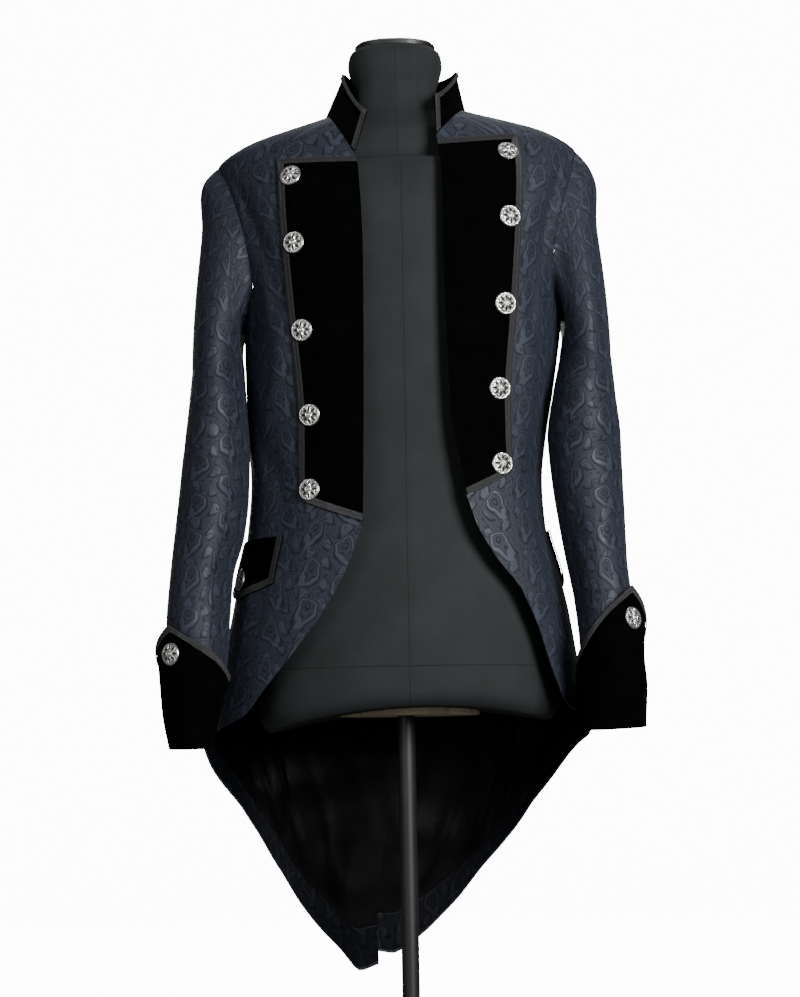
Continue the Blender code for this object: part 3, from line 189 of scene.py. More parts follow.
SIDE_FOLDS = (
    Fold(54, 0.955, 0.075, 0.019, -0.0040, 14), Fold(64, 0.840, 0.070, 0.019, -0.0040, -10),
    Fold(47, 0.800, 0.060, 0.016, 0.0030, -16), Fold(60, 0.690, 0.050, 0.016, -0.0030, 30),
    Fold(118, 0.800, 0.090, 0.016, -0.0040, 12), Fold(140, 0.930, 0.080, 0.018, -0.0035, -14),
    Fold(104, 0.640, 0.045, 0.018, -0.0035, 40), Fold(150, 0.690, 0.040, 0.020, -0.0030, -55),
)
FINE_FOLDS = {
    "right": (
        Fold(60, 0.990, 0.060, 0.009, -0.0030, 22), Fold(66, 0.915, 0.055, 0.010, -0.0034, 8),
        Fold(70, 0.800, 0.060, 0.010, -0.0022, -14), Fold(52, 0.880, 0.060, 0.010, 0.0018, 10),
        Fold(57, 0.740, 0.050, 0.009, 0.0014, -24), Fold(74, 0.660, 0.050, 0.010, -0.0016, 36),
        Fold(50, 0.610, 0.060, 0.010, -0.0012, 12), Fold(56, 0.520, 0.070, 0.012, -0.0016, -6),
        Fold(108, 0.900, 0.060, 0.010, -0.0024, 20), Fold(126, 0.720, 0.060, 0.010, -0.0020, -34),
        Fold(150, 0.860, 0.070, 0.012, 0.0016, -8), Fold(165, 0.700, 0.040, 0.011, -0.0018, -62),
        Fold(132, 0.520, 0.080, 0.014, -0.0022, 6), Fold(160, 1.000, 0.050, 0.012, -0.0014, 70),
        Fold(91, 0.897, 0.030, 0.016, 0.0035, 0),
    ),
    "left": (
        Fold(58, 0.970, 0.065, 0.010, -0.0034, 10), Fold(68, 0.890, 0.050, 0.009, -0.0028, -4),
        Fold(63, 0.790, 0.060, 0.011, 0.0020, -20), Fold(72, 0.740, 0.055, 0.010, -0.0024, -28),
        Fold(50, 0.850, 0.050, 0.009, -0.0014, 18), Fold(66, 0.640, 0.050, 0.010, -0.0018, 26),
        Fold(54, 0.600, 0.055, 0.010, 0.0012, 8), Fold(62, 0.500, 0.070, 0.012, -0.0016, 10),
        Fold(112, 0.880, 0.060, 0.010, -0.0026, 14), Fold(122, 0.750, 0.055, 0.010, -0.0018, -30),
        Fold(146, 0.830, 0.080, 0.012, 0.0018, 6), Fold(162, 0.670, 0.045, 0.011, -0.0020, -58),
        Fold(128, 0.540, 0.080, 0.013, -0.0020, -8), Fold(158, 0.980, 0.050, 0.012, -0.0012, 64),
        Fold(91, 0.939, 0.025, 0.014, 0.0035, 0),
    ),
}


@dataclass(frozen=True)
class Side:
    """What differs between the coat's two halves; sign is -1 on the wearer's right."""

    name: str
    sign: int
    lift: float
    edge: Table
    cutaway: tuple[tuple[float, float], ...]
    tip: tuple[tuple[float, float], ...]
    flap_start: float
    cuff_point: float
    collar_corner: float


RIGHT = Side(
    "right", -1, -0.0100,
    Table("height across", (0.602, 0.0500), (0.740, 0.0470), (0.917, 0.0450), (1.070, 0.0520)),
    ((0.602, 0.0500), (0.5445, 0.0710), (0.494, 0.1010), (0.4496, 0.1366), (0.411, 0.1700), (0.381, 0.1900)),
    ((0.122, 0.0670), (0.098, 0.0450), (0.070, 0.0260), (0.080, 0.0)),
    49, 0.492, 1.094,
)
LEFT = Side(
    "left", 1, 0.0100,
    Table("height across", (0.627, 0.0700), (0.740, 0.0530), (0.917, 0.0480), (1.070, 0.0480)),
    ((0.627, 0.0700), (0.588, 0.0830), (0.552, 0.1040), (0.520, 0.1310), (0.475, 0.1510), (0.430, 0.1650),
     (0.385, 0.1840)),
    ((0.122, 0.0620), (0.104, 0.0400), (0.092, 0.0200), (0.096, 0.0)),
    84, 0.512, 1.114,
)

LAPEL_TOP_INNER, LAPEL_TOP_OUTER, LAPEL_CORNER, LAPEL_INSET = 1.046, 1.0525, 0.6445, 0.0015
BUTTON_HEIGHTS = (1.029, 0.9465, 0.8440, 0.7465, 0.6600)
BUTTON_INSET, BUTTON_RADIUS, BUTTON_DOME, BUTTON_REACH = 0.0150, 0.0130, 0.0046, 0.13
COLLAR_TOP, COLLAR_WIDE, COLLAR_FRONT, COLLAR_BACK, COLLAR_DRIFT = 1.166, 0.0685, 0.0800, 0.0740, 0.0060
COLLAR_OPENING, COLLAR_CORNER, COLLAR_ROWS = 36, (0.38, 1.75), 3 * FINER
COLLAR_BRAID_GAP, COLLAR_BASE = 0.0013, 0.0009
FLAP_TOP, FLAP_LOW, FLAP_POINT, FLAP_WIDE, FLAP_LIFT = 0.5930, 0.5370, 0.5220, 44, 0.0012
FLAP_COLUMNS, FLAP_ROWS, FLAP_BUTTON_RISE, FLAP_REACH = 8 * FINER, 4 * FINER, 0.024, 7 * FINER
FACING_ROWS, LINING_ROWS = (0.06, 0.74), (0.755, 7.0)


class Ridge(NamedTuple):
    """A set of folds in the lining: depth, waves across and up, shift, shift by side, sharpness."""

    deep: float
    across: float
    up: float
    shift: float
    apart: float
    power: int


LINING_RIDGES = (
    Ridge(0.0050, 2.1, 0.35, 0.0, 0.1, 6), Ridge(0.0035, 3.3, -0.9, 0.4, 0.0, 8),
    Ridge(0.0030, 1.2, 1.3, 0.2, 0.15, 10),
)
VENT_LAP, FLANK_INSET = 0.01, 0.04

SLEEVES = {
    "right": Table(
        "height outer inner deep middle",
        (0.800, 0.2530, 0.1905, 0.076, -0.020), (0.750, 0.2573, 0.1870, 0.072, -0.034),
        (0.698, 0.2638, 0.1838, 0.067, -0.040), (0.650, 0.2685, 0.1850, 0.063, -0.047),
        (0.600, 0.2735, 0.1905, 0.060, -0.056), (0.550, 0.2780, 0.2035, 0.057, -0.068),
        (0.500, 0.2810, 0.2070, 0.055, -0.081), (0.440, 0.2785, 0.2110, 0.054, -0.092),
        (0.395, 0.2785, 0.2200, 0.054, -0.099), (0.354, 0.2751, 0.2290, 0.055, -0.104),
    ),
    "left": Table(
        "height outer inner deep middle",
        (0.800, 0.2485, 0.1875, 0.076, -0.018), (0.750, 0.2514, 0.1765, 0.072, -0.038),
        (0.698, 0.2560, 0.1690, 0.067, -0.045), (0.650, 0.2567, 0.1724, 0.063, -0.050),
        (0.600, 0.2570, 0.1785, 0.060, -0.060), (0.550, 0.2572, 0.1860, 0.057, -0.071),
        (0.500, 0.2608, 0.1940, 0.055, -0.084), (0.440, 0.2618, 0.1980, 0.054, -0.100),
        (0.395, 0.2680, 0.1950, 0.054, -0.106), (0.354, 0.2690, 0.1915, 0.055, -0.108),
    ),
}
SLEEVE_TOP, SLEEVE_END, SLEEVE_ROWS = 0.800, 0.354, 88
SLEEVE_FOLDS = (
    Fold(70, 0.712, 0.040, 0.020, -0.0035, 62), Fold(95, 0.668, 0.042, 0.018, -0.0040, 72),
    Fold(60, 0.752, 0.040, 0.020, 0.0028, 58), Fold(115, 0.628, 0.036, 0.018, -0.0030, 80),
    Fold(40, 0.560, 0.060, 0.020, -0.0026, 12), Fold(245, 0.700, 0.050, 0.020, -0.0035, 60),
    Fold(290, 0.655, 0.050, 0.020, -0.0030, 72), Fold(80, 0.900, 0.060, 0.020, -0.0030, 8),
)
ARM_FOLDS = {
    "right": (
        Fold(50, 0.735, 0.030, 0.007, -0.0022, 52), Fold(66, 0.690, 0.034, 0.007, -0.0026, 64),
        Fold(48, 0.655, 0.030, 0.007, -0.0020, 70), Fold(100, 0.720, 0.030, 0.008, 0.0014, 66),
        Fold(120, 0.580, 0.040, 0.009, -0.0014, 30), Fold(70, 0.520, 0.045, 0.009, -0.0016, -18),
        Fold(95, 0.470, 0.030, 0.008, -0.0016, 60), Fold(60, 0.450, 0.030, 0.007, 0.0012, 66),
        Fold(230, 0.640, 0.040, 0.009, -0.0018, 58), Fold(260, 0.560, 0.040, 0.009, -0.0016, 40),
        Fold(200, 0.730, 0.040, 0.009, -0.0016, 50),
    ),
    "left": (
        Fold(56, 0.745, 0.034, 0.008, -0.0026, 56), Fold(74, 0.700, 0.030, 0.007, -0.0022, 66),
        Fold(90, 0.640, 0.034, 0.008, -0.0024, 74), Fold(44, 0.680, 0.030, 0.007, 0.0014, 60),
        Fold(110, 0.550, 0.045, 0.010, -0.0016, 26), Fold(64, 0.570, 0.040, 0.009, -0.0014, -12),
        Fold(84, 0.480, 0.030, 0.008, -0.0018, 58), Fold(130, 0.520, 0.030, 0.008, 0.0012, 50),
        Fold(240, 0.620, 0.040, 0.009, -0.0018, 60), Fold(275, 0.700, 0.040, 0.009, -0.0016, 48),
        Fold(210, 0.540, 0.040, 0.009, -0.0014, 40),
    ),
}
HEAD_FOLDS = (
    (0.10, 0.42, -0.0030), (0.155, 0.55, 0.0016), (0.20, 0.50, -0.0022), (0.84, 0.45, -0.0022),
    (0.90, 0.55, 0.0012),
)
HEAD_ROWS, HEAD_SPRING, HEAD_LEAST, HEAD_SINK, HEAD_START = 34, 0.0125, 2.24, 0.020, 0.00035
HEAD_ARRIVE, HEAD_FOLD_WIDE, CUFF_SAG = (0.0, -0.01, -1.0), 0.022, 0.0012
HEAD_PAD, HEAD_PAD_AT, HEAD_PAD_TALL, HEAD_PAD_START = 0.010, 1.020, 0.035, 0.2
FRONT_SEAM = 3 * FINER
CUFF_ROWS, CUFF_SEAT, CUFF_FLARE, CUFF_BOTTOM, CUFF_LOW = 5 * FINER, 0.0005, 0.0080, 0.352, 0.436
CUFF_POINT_TURN, CUFF_POINT_WIDE, CUFF_POINT_CURVE, CUFF_BUTTON = 123, 0.62, 1.15, 0.2375
CUFF_OUTWARD = (0.62, 0.38)

FORM = Table(
    "height half_width front back",
    (0.389, 0.1660, 0.104, 0.100), (0.394, 0.1720, 0.110, 0.106), (0.410, 0.1780, 0.114, 0.110),
    (0.460, 0.1760, 0.117, 0.114), (0.520, 0.1660, 0.116, 0.112), (0.600, 0.1530, 0.108, 0.098),
    (0.680, 0.1470, 0.104, 0.088), (0.760, 0.1550, 0.110, 0.093), (0.830, 0.1630, 0.118, 0.103),
    (0.900, 0.1680, 0.122, 0.113), (0.960, 0.1740, 0.118, 0.118), (1.005, 0.1900, 0.106, 0.116),
    (1.035, 0.2050, 0.094, 0.108),
)
NECK = Table(
    "height half_width front back",
    (1.107, 0.0600, 0.0460, 0.0600), (1.124, 0.0520, 0.0430, 0.0560), (1.140, 0.0500, 0.0430, 0.0550),
    (1.155, 0.0540, 0.0470, 0.0590), (1.170, 0.0574, 0.0500, 0.0620), (1.183, 0.0555, 0.0480, 0.0600),
    (1.190, 0.0480, 0.0410, 0.0530),
)
RESTING, RESTING_RINGS = (1.054, 1.066, 1.077, 1.0885, 1.098), 13
NECK_LOW, NECK_HIGH, NECK_RINGS = 1.107, 1.190, 34
CAP = ((0.0, 0.0), (0.0, 1.0), (0.004, 1.02), (0.0064, 0.97), (0.008, 0.86), (0.008, 0.0))
FORM_LOW, FORM_HIGH, FORM_RINGS = 0.389, 1.035, 80
POLE_LOW, POLE_RADIUS = 0.0143, 0.0105
FOOT = ((0.0, 0.0), (0.1480, 0.0), (0.1500, 0.0020), (0.1500, 0.0084), (0.1492, 0.0112), (0.1470, 0.0133),
        (0.1440, 0.0140), (0.0, 0.0140))
RIM_DROP, RIM_WIDE, RIM_FADE = 0.0126, 0.130, (0.395, 0.480)
BOARD_THICK, BOARD_SHARE = 0.0075, 0.5
REST, SLACK, THROAT, SLACK_END = 0.0013, 0.0100, 0.0120, 1.094


def ease(low: float, high: float, at: Number) -> Array:
    """Smoothstep 3t2 - 2t3 between two places.

    Args:
        low: where it leaves 0.
        high: where it reaches 1.
        at: places.

    Returns:
        The share at each place.
    """
    t = np.clip((np.asarray(at, float) - low) / (high - low), 0, 1)
    return t * t * (3 - 2 * t)


def fold_relief(folds: Iterable[Fold], angle: Array, height: Array, radius: float) -> Array:
    """Sum over the folds of depth times exp(-(along / run)^2 - (aside / half width)^2).

    Args:
        folds: ridges and troughs, their angles in degrees.
        angle: angles in radians.
        height: heights.
        radius: turns an angle into a length.

    Returns:
        Metres out of the surface.
    """
    relief = np.zeros(np.broadcast(angle, height).shape)
    for fold in folds:
        across, up = (angle - np.radians(fold.angle)) * radius, height - fold.height
        lean = np.radians(fold.lean)
        along = up * np.cos(lean) + across * np.sin(lean)
        aside = across * np.cos(lean) - up * np.sin(lean)
        relief += fold.deep * np.exp(-(along / fold.run) ** 2 - (aside / fold.wide) ** 2)
    return relief


def settle(points: Array, back_share: Number = 0.0, side_share: Number = 0.0, steady: bool = False) -> Array:
    """Leans the clothes on their form and swings the tail and the waist.

    Args:
        points: level points.
        back_share: how much of the tail's swing each point has.
        side_share: how much of the waist's swing it has.
        steady: True where the lean is the same at every height.

    Returns:
        The points as they hang.
    """
    x, y, z = points[..., 0], points[..., 1], points[..., 2]
    leaned = LEAN * (1.0 if steady else ease(0.30, 0.62, z))
    drift = DRIFT * (1 - ease(1.02, 1.06, z))
    sway = TAIL_SWAY("across", z) * back_share + SIDE_SWAY("across", z) * side_share
    return np.stack([x + drift + sway, y, z + leaned * x], axis=-1)


def section(angle: Array, half_width: Number, front: Number, back: Number) -> tuple[Array, Array]:
    """A level section x = a sin(t)(1 + q cos2 t), y = -b cos(t)(1 + q sin2 t).

    Args:
        angle: angles from the front.
        half_width: half-widths a.
        front: depths b before the middle.
        back: depths b behind it.

    Returns:
        x and y.
    """
    deep = np.where(np.cos(angle) >= 0, front, back)
    return (half_width * np.sin(angle) * (1 + SQUARENESS * np.cos(angle) ** 2),
            -deep * np.cos(angle) * (1 + SQUARENESS * np.sin(angle) ** 2))


def ring_parts(angle: Array, height: Array) -> tuple[Array, Array]:
    """The coat's level section, shaved off a little in front of and behind the shoulder's crest.

    Args:
        angle: angles from the front.
        height: heights.

    Returns:
        x and y.
    """
    x, y = section(angle, COAT("half_width", height), COAT("front", height), COAT("back", height))
    away = np.cos(angle) ** 2
    shave = 1 - CREST_SHAVE * away / (away + CREST_SEAM) * np.exp(-((height - CREST) / CREST_WIDE) ** 2)
    return x * shave, y * shave


def angle_for(kind: str, at: Number, height: Number, back: bool = False) -> Array:
    """The angle at which the level section has a given reach in x or depth in y, by table look-up.

    Args:
        kind: "reach" or "depth".
        at: the reach or depth.
        height: heights.
        back: True for the half behind the side seam.

    Returns:
        Angles.
    """
    first, last = (np.pi / 2, np.pi) if back else (0, np.pi / 2)
    fine = np.linspace(0, np.pi, 721) if kind == "depth" else np.linspace(first, last, 361)
    at, height = np.broadcast_arrays(np.asarray(at, float), np.asarray(height, float))
    values = ring_parts(fine[None, :], height.reshape(-1, 1))[1 if kind == "depth" else 0]
    order = np.argsort(values, axis=1, kind="stable")
    found = [np.interp(a, v[o], fine[o]) for a, v, o in zip(at.ravel(), values, order)]
    return np.array(found).reshape(at.shape)


class Cloth(NamedTuple):
    """The outer face of a piece: points, outward unit normals, and places on the coat if it has them."""

    points: Array
    normals: Array
    grid: Array | None = None

    def at(self, across: Array, along: Array, lift: Number = 0.0) -> Array:
        """Bilinear reading of the grid, moved out along the normals.

        Args:
            across: places in columns.
            along: places in rows; beyond the end rows the last cell goes on straight.
            lift: metres out.

        Returns:
            Points.
        """
        across, along = np.broadcast_arrays(np.asarray(across, float), np.asarray(along, float))
        i = np.clip(np.floor(along).astype(int), 0, self.points.shape[0] - 2)
        j = np.clip(np.floor(across).astype(int), 0, self.points.shape[1] - 2)
        v, u = (along - i)[..., None], (across - j)[..., None]
        point, normal = (
            (1 - v) * ((1 - u) * g[i, j] + u * g[i, j + 1])
            + v * ((1 - u) * g[i + 1, j] + u * g[i + 1, j + 1])
            for g in (self.points, self.normals)
        )
        return point + normal * np.broadcast_to(lift, across.shape)[..., None]

    def cut(self, across: Array, along: Array, lift: Number = 0.0) -> Cloth:
        """A new cloth on part of this one.

        Args:
            across: places in columns.
            along: places in rows.
            lift: how far its outer face lies out.

        Returns:
            The new cloth.
        """
        points = self.at(across, along, lift)
        normals = self.at(across, along, np.add(lift, 1.0)) - points
        return Cloth(points, normals / np.linalg.norm(normals, axis=-1, keepdims=True))

    def inward(self, across: Array, along: Array, side: Array, rise: Array, width: float) -> tuple[Array, Array]:
        """Moves grid places by a real width.

        Args:
            across: places in columns.
            along: places in rows.
            side: which way across, -1 to 1.
            rise: which way along, -1 to 1.
            width: metres.

        Returns:
            The new columns and rows.
        """
        small = 0.25
        beside = self.at(across + small, along) - self.at(across - small, along)
        above = self.at(across, along + small) - self.at(across, along - small)
        wide, tall = (np.linalg.norm(step, axis=-1) / (2 * small) for step in (beside, above))
        return across + side * width / wide, along + rise * width / tall

    def wrapped(self, times: int = 1) -> Cloth:
        """A closed tube's grid written out again, so that places past its last column can be read.

        Args:
            times: whole turns.

        Returns:
            The longer grid, with its first column again at the end.
        """
        return Cloth(*(np.concatenate([g] * times + [g[:, :1]], axis=1) for g in self[:2]))

    def uv(self) -> Array:
        """Cloth coordinates in metres: run along each row from its middle, and up or down each column.

        A panel of the coat takes its places on the coat instead: angle times a radius, negative on the
        wearer's right, and height.

        Returns:
            Two numbers for each point.
        """
        if self.grid is not None:
            return self.grid * (COAT_RADIUS * np.sign(self.points[..., 0].mean()), 1.0)
        step = np.linalg.norm(np.diff(self.points, axis=1), axis=-1)
        u = np.concatenate([np.zeros((len(step), 1)), np.cumsum(step, axis=1)], axis=1)
        u -= u[:, u.shape[1] // 2][:, None]
        rise = np.linalg.norm(np.diff(self.points, axis=0), axis=-1)
        v = np.concatenate([np.zeros((1, rise.shape[1])), np.cumsum(rise, axis=0)], axis=0)
        upwards = np.sign(self.points[-1, :, 2].mean() - self.points[0, :, 2].mean())
        return np.stack([u, self.points[:1, :, 2] + v * upwards], axis=-1)


def with_normals(points: Array, closed: bool = False) -> Cloth:
    """A cloth whose normals are the cross product of its two grid directions, turned outwards.

    Args:
        points: rows of points round an axis.
        closed: True where the last column is followed by the first.

    Returns:
        The cloth.
    """
    wide = np.roll(points, -1, 1) - np.roll(points, 1, 1) if closed else np.gradient(points, axis=1)
    normals = np.cross(wide, np.gradient(points, axis=0))
    normals /= np.linalg.norm(normals, axis=-1, keepdims=True)
    outward = points - points.mean(axis=1, keepdims=True)
    return Cloth(points, normals if (normals * outward).sum() > 0 else -normals)


def unroll(points: Array, back: bool = False) -> Array:
    """Stretches heights above the shoulder's crest to the length of its slope, or undoes that.

    Args:
        points: angles and heights.
        back: True to undo it.

    Returns:
        Angles and heights.
    """
    points = np.array(points, float)
    points[..., 1] += np.maximum(points[..., 1] - CREST, 0.0) * ((1 / SLOPE if back else SLOPE) - 1)
    return points


def patch(bottom: Array, top: Array, left: Array, right: Array, reach: int = 1) -> Array:
    """Rows run straight from left to right; the bends of bottom and top fade with a power.

    Args:
        bottom: angles and heights along the lowest row.
        top: those of the highest row.
        left: those of the first column.
        right: those of the last column.
        reach: the power with which the bends fade.

    Returns:
        A grid of angles and heights.
    """
    bottom, top, left, right = (unroll(edge) for edge in (bottom, top, left, right))

    def shares(one: Array, other: Array) -> Array:
        """Mean share of the run along two opposite edges.

        Args:
            one: the first edge.
            other: the other edge.

        Returns:
            From 0 to 1, one for each point.
        """
        runs = [np.concatenate([[0], np.cumsum(np.hypot(*(np.diff(e, axis=0) * [COAT_RADIUS, 1]).T))])
                for e in (one, other)]
        return sum(run / run[-1] for run in runs) / 2

    u, v = shares(bottom, top)[:, None], shares(left, right)[:, None, None]
    bends = [edge - ((1 - u) * edge[0] + u * edge[-1]) for edge in (bottom, top)]
    rows = (1 - u) * left[:, None] + u * right[:, None]
    return unroll(rows + (1 - v) ** reach * bends[0] + v ** reach * bends[1], back=True)


def armhole(branch: str) -> Array:
    """Half of the armhole, an oval whose widest place lies below its middle.

    Args:
        branch: "front" or "back".

    Returns:
        Angles and heights from the underarm to the shoulder tip.
    """
    turn = np.linspace(np.pi, 0, ARM_ROWS + 1)
    height = (SHOULDER_TIP + UNDERARM) / 2 + (SHOULDER_TIP - UNDERARM) / 2 * np.cos(turn)
    deep = ARM_DEEP_BACK if branch == "back" else -ARM_DEEP_FRONT
    depth = deep * np.sin(turn - ARM_SKEW * np.sin(turn))
    depth[[0, -1]] = 0.0
    return np.stack([angle_for("depth", depth, height), height], axis=1)


def line_at(table: Table, heights: Array, back: bool = False) -> Array:
    """A table of reaches as a boundary.

    Args:
        table: heights and reaches.
        heights: where it is read.
        back: True behind the side seam.

    Returns:
        Angles and heights.
    """
    return np.stack([angle_for("reach", table("across", heights), heights, back), heights], axis=1)


def cut_hem(hem: Array, low: float, high: float) -> Array:
    """The stretch of a hem between two angles.

    Args:
        hem: angles and heights.
        low: first angle.
        high: last angle.

    Returns:
        Angles and heights, the ends exactly there.
    """
    heights = np.interp([low, high], hem[:, 0], hem[:, 1])
    inside = hem[(hem[:, 0] > low + 1e-4) & (hem[:, 0] < high - 1e-4)]
    return np.concatenate([[(low, heights[0])], inside, [(high, heights[1])]])


def shoulder_line() -> Array:
    """The shoulder seam.

    Returns:
        Angles and heights from the neck point out to the shoulder tip.
    """
    inner = np.linspace(NECK_POINT, PRINCESS_TOP, SHOULDER_COLUMNS + 1)
    outer = np.linspace(PRINCESS_TOP, SHOULDER_TIP, SIDE_COLUMNS + 1)
    heights = np.concatenate([inner, outer[1:]])
    return np.stack([np.full(heights.shape, np.pi / 2), heights], axis=1)


class HalfCoat:
    """Front, side front and back of one half, each a cloth over a grid of angles and heights."""

    def __init__(self, side: Side) -> None:
        """Lays out the seams and the three grids.

        Args:
            side: the half.
        """
        self.side = side
        self.hem = self.hem_line()
        seam_angle = float(angle_for("reach", *PRINCESS_FOOT))
        self.princess = self.princess_line(self.hem_height(seam_angle))
        self.princess[0, 1] = self.hem_height(self.princess[0, 0])
        rows = np.linspace(self.hem_height(np.pi / 2), UNDERARM, LOW_ROWS + 1)
        self.side_seam = np.stack([np.full(rows.shape, np.pi / 2), rows], axis=1)
        self.front = self.cloth(self.front_grid())
        self.side_front = self.cloth(self.side_grid())
        self.back = self.cloth(self.back_grid())

    def hem_height(self, angle: float) -> float:
        """Height of the hem.

        Args:
            angle: where.

        Returns:
            The height there.
        """
        return float(np.interp(angle, self.hem[:, 0], self.hem[:, 1]))

    def surface(self, angle: Number, height: Number) -> Array:
        """Outer face of the coat: the leaning level section plus the relief of its folds.

        Args:
            angle: angles from the front.
            height: heights.

        Returns:
            Points.
        """
        angle, height = np.broadcast_arrays(np.asarray(angle, float), np.asarray(height, float))
        x, y = ring_parts(angle, height)
        folds = SIDE_FOLDS + FINE_FOLDS[self.side.name]
        relief = fold_relief(folds, angle, height, COAT_RADIUS) * (1 - ease(*FOLD_FADE, height))
        flutes = np.sin(2 * TAIL_WAVES * (np.pi - angle)) * TAIL_WAVE_DEEP
        relief = relief + flutes * (1 - ease(*FLUTE_FADE, height)) * ease(*FLUTE_FROM, angle)
        radius = np.maximum(np.hypot(x, y), 1e-6)
        x, y = x * (1 + relief / radius), y * (1 + relief / radius)
        points = np.stack([self.side.sign * x, y, height], axis=-1)
        return settle(points, ease(*SWING_FROM, angle), ease(*WAIST_FROM, angle))

    def cloth(self, grid: Array) -> Cloth:
        """Outer face over a grid, its normals from small steps in angle and height.

        Args:
            grid: angles and heights.

        Returns:
            The cloth.
        """
        angle, height = grid[..., 0], grid[..., 1]
        along = self.surface(angle + SMALL, height) - self.surface(angle - SMALL, height)
        up = self.surface(angle, height + SMALL) - self.surface(angle, height - SMALL)
        normals = np.cross(along, up) * self.side.sign
        normals /= np.linalg.norm(normals, axis=-1, keepdims=True)
        return Cloth(self.surface(angle, height), normals, grid)

    def even(self, points: Array, count: int) -> Array:
        """A boundary resampled to even lengths on the coat.

        Args:
            points: angles and heights.
            count: steps.

        Returns:
            count + 1 angles and heights.
        """
        points = np.asarray(points, float)
        world = self.surface(points[:, 0], points[:, 1])
        run = np.concatenate([[0], np.cumsum(np.linalg.norm(np.diff(world, axis=0), axis=1))])
        at = np.linspace(0, run[-1], count + 1)
        return np.stack([np.interp(at, run, points[:, k]) for k in (0, 1)], axis=1)

    def nudge(self, points: Array, by: float) -> Array:
        """Moves a boundary round the coat by a real distance, so that sewn edges keep their gap.

        Args:
            points: angles and heights.
            by: metres away from the front.

        Returns:
            Angles and heights.
        """
        points = np.array(points, float)
        step = self.surface(points[:, 0] + SMALL, points[:, 1]) - self.surface(points[:, 0], points[:, 1])
        points[:, 0] += by * SMALL / np.linalg.norm(step, axis=1)
        return points

    def hem_line(self) -> Array:
        """The lower edge from the lapel's foot to the vent, rounded by a moving Hann window.

        Returns:
            Angles and heights.
        """
        front = [(angle_for("reach", across, height), height) for height, across in self.side.cutaway]
        tail = [(angle_for("reach", across, height, True), height) for height, across in TAIL_HEM + self.side.tip]
        rows = np.array([(float(a), float(h)) for a, h in
                         front + [(np.radians(HEM_FLANK[0]), HEM_FLANK[1])] + tail])
        fine = np.linspace(0, len(rows) - 1, HEM_FINE * len(rows))
        soft = np.stack([np.interp(fine, np.arange(len(rows)), rows[:, k]) for k in (0, 1)], axis=1)
        kernel = np.hanning(HEM_FINE + 1) / np.hanning(HEM_FINE + 1).sum()
        padded = np.pad(soft, ((HEM_FINE // 2, HEM_FINE // 2), (0, 0)), mode="edge")
        rounded = np.stack([np.convolve(padded[:, k], kernel, "valid") for k in (0, 1)], axis=1)
        rounded[0], rounded[-1] = rows[0], rows[-1]
        return rounded

    def princess_line(self, foot: float) -> Array:
        """The seam from the hem, under the lapel's outer edge, to the shoulder seam.

        Args:
            foot: height of its lower end.

        Returns:
            Angles and heights.
        """
        corner, top = LAPEL_CORNER + self.side.lift, LAPEL_TOP_OUTER + self.side.lift
        stretches = ((foot, corner, SKIRT_ROWS), (corner, top, LAPEL_ROWS), (top, PRINCESS_TOP, YOKE_ROWS))
        parts = [self.even(line_at(PRINCESS, np.linspace(low, high, 60)), count) for low, high, count in stretches]
        parts[-1][-1, 0] = np.pi / 2
        return np.concatenate([parts[0], parts[1][1:], parts[2][1:]])

    def front_grid(self) -> Array:
        """The front panel: its skirt, the stretch under the lapel and its yoke.

        Returns:
            Angles and heights.
        """
        side, half, hem = self.side, SEAM / 2, self.hem
        columns = NECK_COLUMNS + SHOULDER_COLUMNS
        seam = self.nudge(self.princess, -half)
        corner, chest = SKIRT_ROWS, SKIRT_ROWS + LAPEL_ROWS
        foot_angle = float(angle_for("reach", FRONT_FOOT, FRONT_FOOT_HEIGHT))
        bottom = self.even(cut_hem(hem, foot_angle, self.princess[0, 0]), columns)
        bottom[-1] = seam[0]
        cutaway = self.even(cut_hem(hem, hem[0, 0], foot_angle)[::-1], SKIRT_ROWS)
        cutaway[0] = bottom[0]
        top_inner, start = LAPEL_TOP_INNER + side.lift, NECK_FRONT + side.lift
        edge = self.even(line_at(side.edge, np.linspace(side.edge.rows[0, 0], top_inner, 80)), LAPEL_ROWS)
        edge[0] = cutaway[-1]
        neck_edge = line_at(side.edge, np.linspace(top_inner, start, YOKE_ROWS + 1))
        turn = np.linspace(0, 1, 24)
        inner = float(side.edge("across", start))
        heights = start + (NECK_POINT - start) * turn
        neck = np.stack([angle_for("reach", inner + (NECK_HALF - inner) * turn, heights), heights], axis=1)
        neck[0], neck[-1] = neck_edge[-1], (np.pi / 2 - half / NECK_RADIUS, NECK_POINT)
        ridge = self.nudge(shoulder_line()[:SHOULDER_COLUMNS + 1], -half)
        top = np.concatenate([self.even(neck, NECK_COLUMNS), ridge[1:]])
        top[-1] = (np.pi / 2 - half / SHOULDER_RADIUS, seam[-1, 1])
        seam[-1] = top[-1]
        foot_row, chest_row = (self.even(np.linspace(a, b, columns + 1), columns)
                               for a, b in ((edge[0], seam[corner]), (edge[-1], seam[chest])))
        foot_row[[0, -1]], chest_row[[0, -1]] = (edge[0], seam[corner]), (edge[-1], seam[chest])
        neck_edge[0], top[0] = chest_row[0], neck_edge[-1]
        return np.concatenate([
            patch(bottom, foot_row, cutaway, seam[:corner + 1]),
            patch(foot_row, chest_row, edge, seam[corner:chest + 1])[1:],
            patch(chest_row, top, neck_edge, seam[chest:])[1:],
        ])

